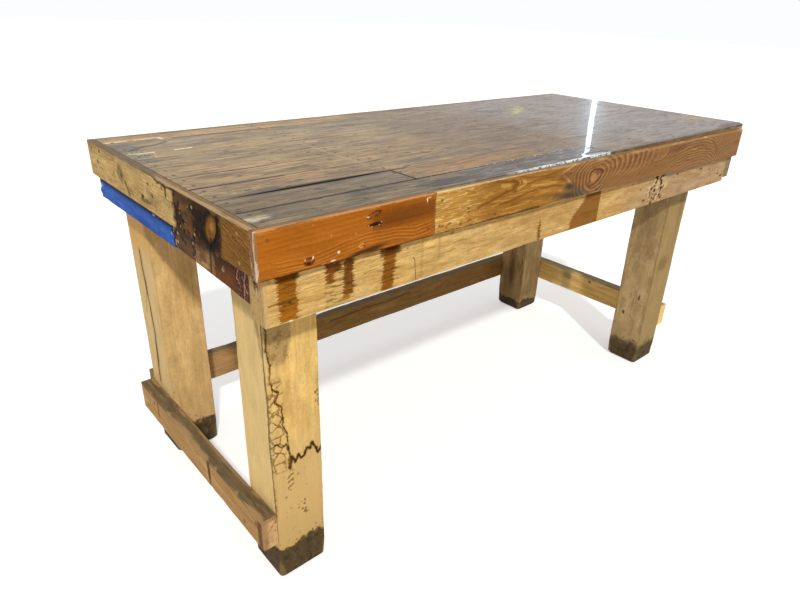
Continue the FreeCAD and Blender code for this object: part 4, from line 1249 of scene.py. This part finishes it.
# ---------------------------------------------------------------- the table
top = top_material()
PLANK = "plank_timber"


def plank(name, seed, **shape):
    """A plank of the top, with sharper upper edges than the other timber has."""
    edges = {(1, 1): 0.5, (-1, 1): 0.5, (1, -1): 1.5, (-1, -1): 1.5}
    edges.update(shape.pop("edges", {}))
    timber(name, X, seed, top, PLANK, radius=1.5, edges=edges, wobble=0.35,
           end_radius=shape.pop("end_radius", 1.0), **shape)


TOP_END, KNOCKED_LENGTH = 943, 22
# The gap behind the second plank: where it is wide, and how far the planks reach into it elsewhere
WIDE_GAP_MIDDLE, WIDE_GAP_HALF, GAP_END, GAP_FADE = -680, 190, -500, 30
FRONT_REACH, FRONT_OPENING = 1.9, 3.4
BACK_REACH, BACK_OPENING = 1.6, 2.2
CLOSED_REACH = 4.2


def lens(s):
    """1 in the middle of the wide part of the gap, falling to 0 at its ends."""
    return bump(s, WIDE_GAP_MIDDLE, WIDE_GAP_HALF) ** 0.6


def knocked_corner(s, a0, a1, b0, b1):
    """The front right corner of the top is cut off at a slant."""
    return a0 + np.maximum(0, s - (TOP_END - KNOCKED_LENGTH)), a1, b0, b1


def gap_front(s, a0, a1, b0, b1):
    """The second plank's back edge, along the gap."""
    return a0, a1 + FRONT_REACH - FRONT_OPENING * lens(s), b0, b1


def gap_back(s, a0, a1, b0, b1):
    """The third plank's front edge, which reaches forward only along the gap."""
    left = np.clip((GAP_END - s) / GAP_FADE, 0, 1)
    return a0 - left * (BACK_REACH - BACK_OPENING * lens(s)), a1, b0, b1


def gap_closed(s, a0, a1, b0, b1):
    """The second plank's right length nearly fills the gap."""
    return a0, a1 + CLOSED_REACH, b0, b1


plank("top_plank_1_left", 11, chips=[(1, 1, -450, 1100, 1.4), (-1, 1, -300, 900, 0.6)],
      dents=[((0, 1), 45, -403, 120, 34, 1.2)])
plank("top_plank_1_right", 12, limits=knocked_corner, chips=[(-1, 1, 700, 500, 1.5)], spacing=8)
plank("top_plank_2_left", 13, limits=gap_front, edges={(1, 1): 1.6, (-1, 1): 1.6}, end_radius=1.6)
plank("top_plank_2_right", 14, limits=gap_closed, chips=[(-1, 1, -250, 520, 0.8)])
plank("top_plank_3", 15, limits=gap_back, chips=[(-1, 1, -690, 420, 1.4), (1, 1, -850, 300, 0.8)])
for index in range(4, 10):
    plank("top_plank_%d" % index, 12 + index, chips=[(-1, 1, -800, 400, 0.6), (1, 1, -640, 300, 0.5)])


FALL, FALL_START, FALL_END = 12.0, -546, 885
BOARD_BOTTOM, BOARD_TOP = 833.0, 922.0


def falling_board(s, a0, a1, b0, b1):
    """The long front edge board falls towards its right end, as its solid does."""
    fall = FALL * (s - FALL_START) / (FALL_END - FALL_START)
    return a0, a1, BOARD_BOTTOM - fall, BOARD_TOP - fall


timber("front_edge_board_left", X, 31, orange_material(), "orange_edge_timber", radius=1.6, worn=1.2,
       chips=[(-1, 1, -700, 60, 2.0), (-1, 1, -930, 60, 2.5), (-1, -1, -720, 70, 1.5)])
timber("front_edge_board_right", X, 32, golden_material(), "golden_edge_timber", limits=falling_board,
       radius=1.6, worn=1.3, chips=[(-1, 1, 613, 40, 2.4), (-1, 1, 40, 90, 2.2), (-1, 1, 870, 60, 4.0),
                                    (-1, 1, -180, 300, 1.0)])
end_board = end_board_material()
timber("left_end_edge_board", Y, 33, end_board, "brown_edge_timber", radius=1.8, worn=1.4,
       chips=[(1, -1, -280, 60, 3.0), (1, -1, -150, 120, 2.0)])
pale_apron = apron_material()
timber("front_apron", X, 35, pale_apron, "frame_timber", radius=2.2, worn=1.2)


SLOPE_START, SLOPE_LENGTH, SLOPE_DEPTH = -102, 260, 10.0


def sloped_apron(s, a0, a1, b0, b1):
    """Deeper towards the front corner, as the solid is. Here a is Z and b is X."""
    front = np.clip((SLOPE_START - s) / SLOPE_LENGTH, 0, 1)
    return a0 + SLOPE_DEPTH * (1 - front), a1, b0, b1


timber("left_end_apron", Y, 36, end_apron_material("rotten_left_apron", 6, True), "frame_timber",
       limits=sloped_apron, radius=2.5, worn=1.8, wobble=1.2, dents=[((0, -1), -95, 800, 110, 70, 1.5)])
brown_rail = end_apron_material("brown_rail", 7, False)
timber("right_end_apron", Y, 37, brown_rail, "frame_timber", limits=sloped_apron)
timber("right_end_board", Y, 38, brown_rail, "frame_timber", worn=1.5)

FRAME_DARK, FRAME_MID, FRAME_LIGHT = (92, 66, 38), (134, 104, 66), (166, 136, 92)
inner = stretcher_material("shaded_rails", X, 8, FRAME_MID, FRAME_DARK, FRAME_LIGHT)
for number, name in enumerate(("front_inner_rail", "back_apron")):
    timber(name, X, 40 + number, inner, "frame_timber", worn=1.2)
bearer = stretcher_material("shaded_bearers", Y, 9, FRAME_MID, FRAME_DARK, FRAME_LIGHT)
for number in (1, 2, 3):
    timber("cross_bearer_%d" % number, Y, 42 + number, bearer, "frame_timber", worn=1.2)
timber("back_edge_strip", X, 46, stretcher_material(
    "back_strip", X, 10, (160, 134, 96), (108, 80, 50), (190, 164, 122)),
    "brown_edge_timber", worn=1.2, radius=1.6)

timber("left_stretcher", Y, 47, stretcher_material(
    "left_stretcher_wood", Y, 11, (188, 146, 88), (138, 94, 46), (214, 174, 116), left_stretcher_marks),
    "frame_timber", worn=1.6, radius=3)
# Painted light: the right stretcher's colours are made lighter to make up for the shade of the table above it
timber("right_stretcher", Y, 48, stretcher_material(
    "right_stretcher_wood", Y, 12, (240, 199, 120), (186, 144, 78), (248, 218, 150), right_stretcher_marks),
    "frame_timber", worn=1.4, radius=3)
timber("rear_stretcher", X, 49, stretcher_material(
    "rear_stretcher_wood", X, 13, (153, 115, 61), (106, 73, 34), (180, 141, 83), rear_stretcher_marks),
    "frame_timber", worn=1.4, radius=3)


FOOT_CHAMFER = 10.0


def worn_foot(s, a0, a1, b0, b1):
    """The post narrows over its chamfer, down to the floor."""
    inset = FOOT_CHAMFER * np.clip(1 - s / FOOT_CHAMFER, 0, 1) ** 1.5
    return a0 + inset, a1 - inset, b0 + inset, b1 - inset


FOOT_WEAR = [(sa, sb, 0, 150, 9.0) for sa in (-1, 1) for sb in (-1, 1)]


def leg(name, seed, material, **shape):
    """A post with worn corners at its foot."""
    timber(name, Z, seed, material, "post_timber", limits=worn_foot, radius=3.0, worn=1.3, wobble=1.0,
           end_radius=3.0, chips=FOOT_WEAR + list(shape.pop("chips", ())), spacing=8, **shape)


leg("leg_front_left", 51, leg_material(
    "front_left_post", 14, (232, 192, 117), (190, 144, 76), (244, 212, 148), (56, 36, 14), 92,
    front_left_marks), chips=[(-1, -1, 450, 500, 3.0)])
leg("leg_back_left", 52, leg_material(
    "back_left_post", 15, (220, 182, 122), (176, 134, 80), (234, 202, 146), (56, 40, 20), 92,
    back_left_marks), grooves=[((-1, 0), 325, 2.6, 7.0, 200, 640)])
leg("leg_front_right", 53, leg_material(
    "front_right_post", 16, (200, 170, 120), (146, 116, 74), (216, 188, 140), (60, 48, 32), 76,
    front_right_marks, (77, 65, 45), 2.6, 0.25, 26))
leg("leg_back_right", 54, leg_material(
    "back_right_post", 17, (200, 168, 116), (150, 116, 70), (220, 190, 140), (44, 34, 22), 44,
    back_right_marks, (74, 62, 46), 3.5, 0.35, 5))


# Fasteners keep their solids and get aged steel
def steel_material():
    p = Paint("aged_steel", X, 20)
    p.start((104, 86, 66), 0.6)
    p.view(X, Z, None, ragged=0)
    p.mark(p.z.step(912, 920), (98, 82, 62), 1.0)
    edge_board = p.y.step(-424, -429) * p.z.step(812, 816)
    p.mark(edge_board * p.x.step(-540, -552), (150, 78, 14), 1.0)
    p.mark(edge_board * p.x.step(-552, -540), (146, 98, 46), 1.0)
    apron = p.y.step(-404, -411) * p.z.step(830, 826) * p.y.step(-418, -414)
    p.weather([((80, 48, 24), 0.45, 0.62, 0.4, 0.06), ((150, 136, 112), 0.55, 0.7, 0.3, 0.1)])
    p.mark(apron, (208, 166, 100), 0.95)
    p.mark(apron * p.x.step(0, 300), (172, 142, 100), 0.85)
    p.mark(p.x.step(-938, -942), (168, 132, 82), 0.9)
    p.height = p.noise(2, 1, 2, 0.5, 3) * 0.1
    material = p.finish(specular=0.3, rough_noise=0.3)
    material.node_tree.nodes["Principled BSDF"].inputs["Metallic"].default_value = 0.3
    return material


steel = steel_material()
for group in ("plank_nails", "edge_board_nails", "bearer_nails", "frame_nails", "leg_screws",
              "stretcher_screws"):
    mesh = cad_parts[group].data
    mesh.materials.clear()
    mesh.materials.append(steel)


def tape_material():
    p = Paint("blue_crepe_tape", Y, 21)
    p.start((46, 96, 184), 0.65)
    p.weather([((24, 58, 140), 0.48, 0.62, 0.6, 0.4), ((78, 132, 214), 0.54, 0.66, 0.5, 0.25)], along=4)
    p.texture(0.09, 0.07, 0.05, width=6, along=10)
    p.view(Y, Z, None, ragged=3, size=9)
    # Painted shade: a dark band along the tape's top, under the overhanging end board
    p.box((22, 42, 96), -60, 450, 811, 825, 4, 0.7)
    p.specks((232, 218, 226), 12, 0.42, 0.45, 0.85, area=p.exact[0].step(398, 418))
    torn_corner = p.exact[0].step(402, 420) * p.b.step(795, 785)
    p.specks((70, 40, 60), 12, 0.34, 0.35, 0.85, area=torn_corner, offset=4)
    p.specks((226, 216, 228), 10, 0.38, 0.35, 0.8, area=p.exact[0].step(-14, -30), offset=7)
    p.spot((214, 190, 222), 62, 818, 8, 4, 0.85)
    p.height = p.height + p.noise(1.2, 0.7, 2, 0.5, 9) * 0.25
    return p.finish(specular=0.1)


TAPE_THICKNESS = 0.35


def tape_strip():
    """A thin strip of tape with torn ends and small wrinkles, closed all round."""
    columns, rows = 96, 10
    low, high = node_limits("blue_tape_strip")
    along, up = np.linspace(0, 1, columns + 1), np.linspace(0, 1, rows + 1)
    t, v = [grid.reshape(-1) for grid in np.meshgrid(along, up, indexing="ij")]
    front_tear = 15 * wave(v * 0.06, 61, 60) + 5 * wave(v * 0.06, 62, 260)
    back_tear = 11 * wave(v * 0.06, 63, 70) + 6 * (v < 0.3)
    y = low[1] + front_tear + t * (high[1] - low[1] - front_tear - back_tear)
    bottom = low[2] + 1.6 * wave(y / METRE, 64, 40)
    upper = high[2] - 1.2 * wave(y / METRE, 65, 30)
    z = bottom + v * (upper - bottom)
    spots = np.stack([y / 17, z / 34, np.zeros(len(y))], 1)
    wrinkle = 1.1 * np.clip(value_noise(spots, 66) - 0.45, 0, 1) + 0.5 * value_noise(spots * 3, 67)
    back_curl = 2.4 * np.clip(1 - (high[1] - y) / 26, 0, 1) * (1 - v)
    end_curl = back_curl + 1.2 * np.clip(1 - (y - low[1]) / 22, 0, 1)
    outer = np.stack([high[0] - 0.5 - wrinkle - end_curl, y, z], 1)
    inner = outer.copy()
    inner[:, 0] += TAPE_THICKNESS
    count = len(outer)

    def at(i, j):
        return i * (rows + 1) + j

    faces = []
    for i in range(columns):
        for j in range(rows):
            quad = (at(i, j), at(i, j + 1), at(i + 1, j + 1), at(i + 1, j))
            faces += [quad, tuple(count + k for k in reversed(quad))]
    rim = [at(i, 0) for i in range(columns)] + [at(columns, j) for j in range(rows)]
    rim += [at(i, rows) for i in range(columns, 0, -1)] + [at(0, j) for j in range(rows, 0, -1)]
    for first, second in zip(rim, rim[1:] + rim[:1]):
        faces.append((first, second, count + second, count + first))
    mesh = bpy.data.meshes.new("blue_tape")
    mesh.from_pydata((np.concatenate([outer, inner]) * MM).tolist(), [], faces)
    mesh.update()
    mesh.shade_smooth()
    mesh.materials.append(tape_material())
    piece = bpy.data.objects.new("blue_tape", mesh)
    bpy.context.scene.collection.objects.link(piece)
    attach(piece, "root")
    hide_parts("blue_tape_strip")


tape_strip()


# ---------------------------------------------------------------- floor, light and camera
FLOOR_HALF, FLOOR_GLOW, FLOOR_COLOUR = 30.0, 0.48, (0.78, 0.77, 0.75, 1)
WORLD_COLOUR, WORLD_LIGHT, WORLD_SEEN = (0.97, 0.985, 1.0, 1), 0.50, 1.0
SUN_FROM, SUN_STRENGTH, SUN_DEGREES, SUN_COLOUR = (-0.34, -0.66, 0.67), 2.05, 3, (1.0, 0.97, 0.92)
# The camera as it was fitted to the photo
EYE = Vector((-1.3757, -1.2813, 1.2586))
YAW, PITCH, ROLL = math.radians(42.529), math.radians(-25.935), math.radians(2.308)
SENSOR_WIDTH, LENS, SHIFT_X, SHIFT_Y, FAR_LIMIT = 36, 27.845, -0.0166, 0.0029, 200


def floor_material():
    """A pale floor that glows a little for the camera and in reflections, but gives no light."""
    material = bpy.data.materials.new("pale_floor")
    material.use_nodes = True
    tree = material.node_tree
    shader = tree.nodes["Principled BSDF"]
    shader.inputs["Base Color"].default_value = FLOOR_COLOUR
    shader.inputs["Roughness"].default_value = 0.9
    shader.inputs["Specular IOR Level"].default_value = 0.0
    path = tree.nodes.new("ShaderNodeLightPath")
    seen = tree.nodes.new("ShaderNodeMath")
    seen.operation = "MAXIMUM"
    tree.links.new(path.outputs["Is Camera Ray"], seen.inputs[0])
    tree.links.new(path.outputs["Is Glossy Ray"], seen.inputs[1])
    lift = tree.nodes.new("ShaderNodeMath")
    lift.operation = "MULTIPLY"
    lift.inputs[1].default_value = FLOOR_GLOW
    tree.links.new(seen.outputs[0], lift.inputs[0])
    shader.inputs["Emission Color"].default_value = (1, 1, 1, 1)
    tree.links.new(lift.outputs[0], shader.inputs["Emission Strength"])
    return material


floor_mesh = bpy.data.meshes.new("floor")
floor_corners = [(a * FLOOR_HALF, b * FLOOR_HALF, 0) for a, b in ((-1, -1), (1, -1), (1, 1), (-1, 1))]
floor_mesh.from_pydata(floor_corners, [], [(0, 1, 2, 3)])
floor = bpy.data.objects.new("floor", floor_mesh)
floor.data.materials.append(floor_material())
bpy.context.scene.collection.objects.link(floor)

world = bpy.data.worlds.new("studio")
bpy.context.scene.world = world
world.use_nodes = True
background = world.node_tree.nodes["Background"]
background.inputs["Color"].default_value = WORLD_COLOUR
light_path = world.node_tree.nodes.new("ShaderNodeLightPath")
strength = world.node_tree.nodes.new("ShaderNodeMapRange")
either = world.node_tree.nodes.new("ShaderNodeMath")
either.operation = "MAXIMUM"
world.node_tree.links.new(light_path.outputs["Is Camera Ray"], either.inputs[0])
world.node_tree.links.new(light_path.outputs["Is Glossy Ray"], either.inputs[1])
world.node_tree.links.new(either.outputs[0], strength.inputs[0])
strength.inputs[3].default_value = WORLD_LIGHT
strength.inputs[4].default_value = WORLD_SEEN
world.node_tree.links.new(strength.outputs[0], background.inputs["Strength"])

sun_data = bpy.data.lights.new("key", "SUN")
sun_data.energy = SUN_STRENGTH
sun_data.angle = math.radians(SUN_DEGREES)
sun_data.color = SUN_COLOUR
sun = bpy.data.objects.new("key", sun_data)
sun.rotation_euler = Vector(SUN_FROM).to_track_quat("Z", "Y").to_euler()
bpy.context.scene.collection.objects.link(sun)

# A narrow strip lamp beyond the table, whose reflection runs across the sealed top
LAMP_YAW, LAMP_DISTANCE, LAMP_HEIGHT = math.radians(57.5), 3.6, 1.24
LAMP_WIDTH, LAMP_LENGTH, LAMP_POWER, LAMP_COLOUR = 0.026, 0.62, 0.85, (0.6, 0.8, 1.0)
lamp_data = bpy.data.lights.new("strip", "AREA")
lamp_data.shape = "RECTANGLE"
lamp_data.size = LAMP_WIDTH
lamp_data.size_y = LAMP_LENGTH
lamp_data.energy = LAMP_POWER
lamp_data.color = LAMP_COLOUR
lamp = bpy.data.objects.new("strip", lamp_data)
lamp_x = EYE.x + LAMP_DISTANCE * math.sin(LAMP_YAW)
lamp_y = EYE.y + LAMP_DISTANCE * math.cos(LAMP_YAW)
lamp.location = (lamp_x, lamp_y, LAMP_HEIGHT)
lamp.rotation_euler = Vector((math.sin(LAMP_YAW), math.cos(LAMP_YAW), 0)).to_track_quat("Z", "Y").to_euler()
lamp.visible_camera = False
bpy.context.scene.collection.objects.link(lamp)

forward = Vector((math.sin(YAW) * math.cos(PITCH), math.cos(YAW) * math.cos(PITCH), math.sin(PITCH)))
level = Vector((math.cos(YAW), -math.sin(YAW), 0))
rise = level.cross(forward)
side_axis = level * math.cos(ROLL) + rise * math.sin(ROLL)
up_axis = rise * math.cos(ROLL) - level * math.sin(ROLL)
view = Matrix((side_axis, up_axis, -forward)).transposed().to_4x4()
view.translation = EYE
camera_data = bpy.data.cameras.new("camera")
camera_data.sensor_width = SENSOR_WIDTH
camera_data.lens = LENS
camera_data.shift_x = SHIFT_X
camera_data.shift_y = SHIFT_Y
camera_data.clip_end = FAR_LIMIT
camera = bpy.data.objects.new("camera", camera_data)
camera.matrix_world = view
bpy.context.scene.collection.objects.link(camera)
bpy.context.scene.camera = camera
bpy.context.scene.view_settings.view_transform = "Standard"
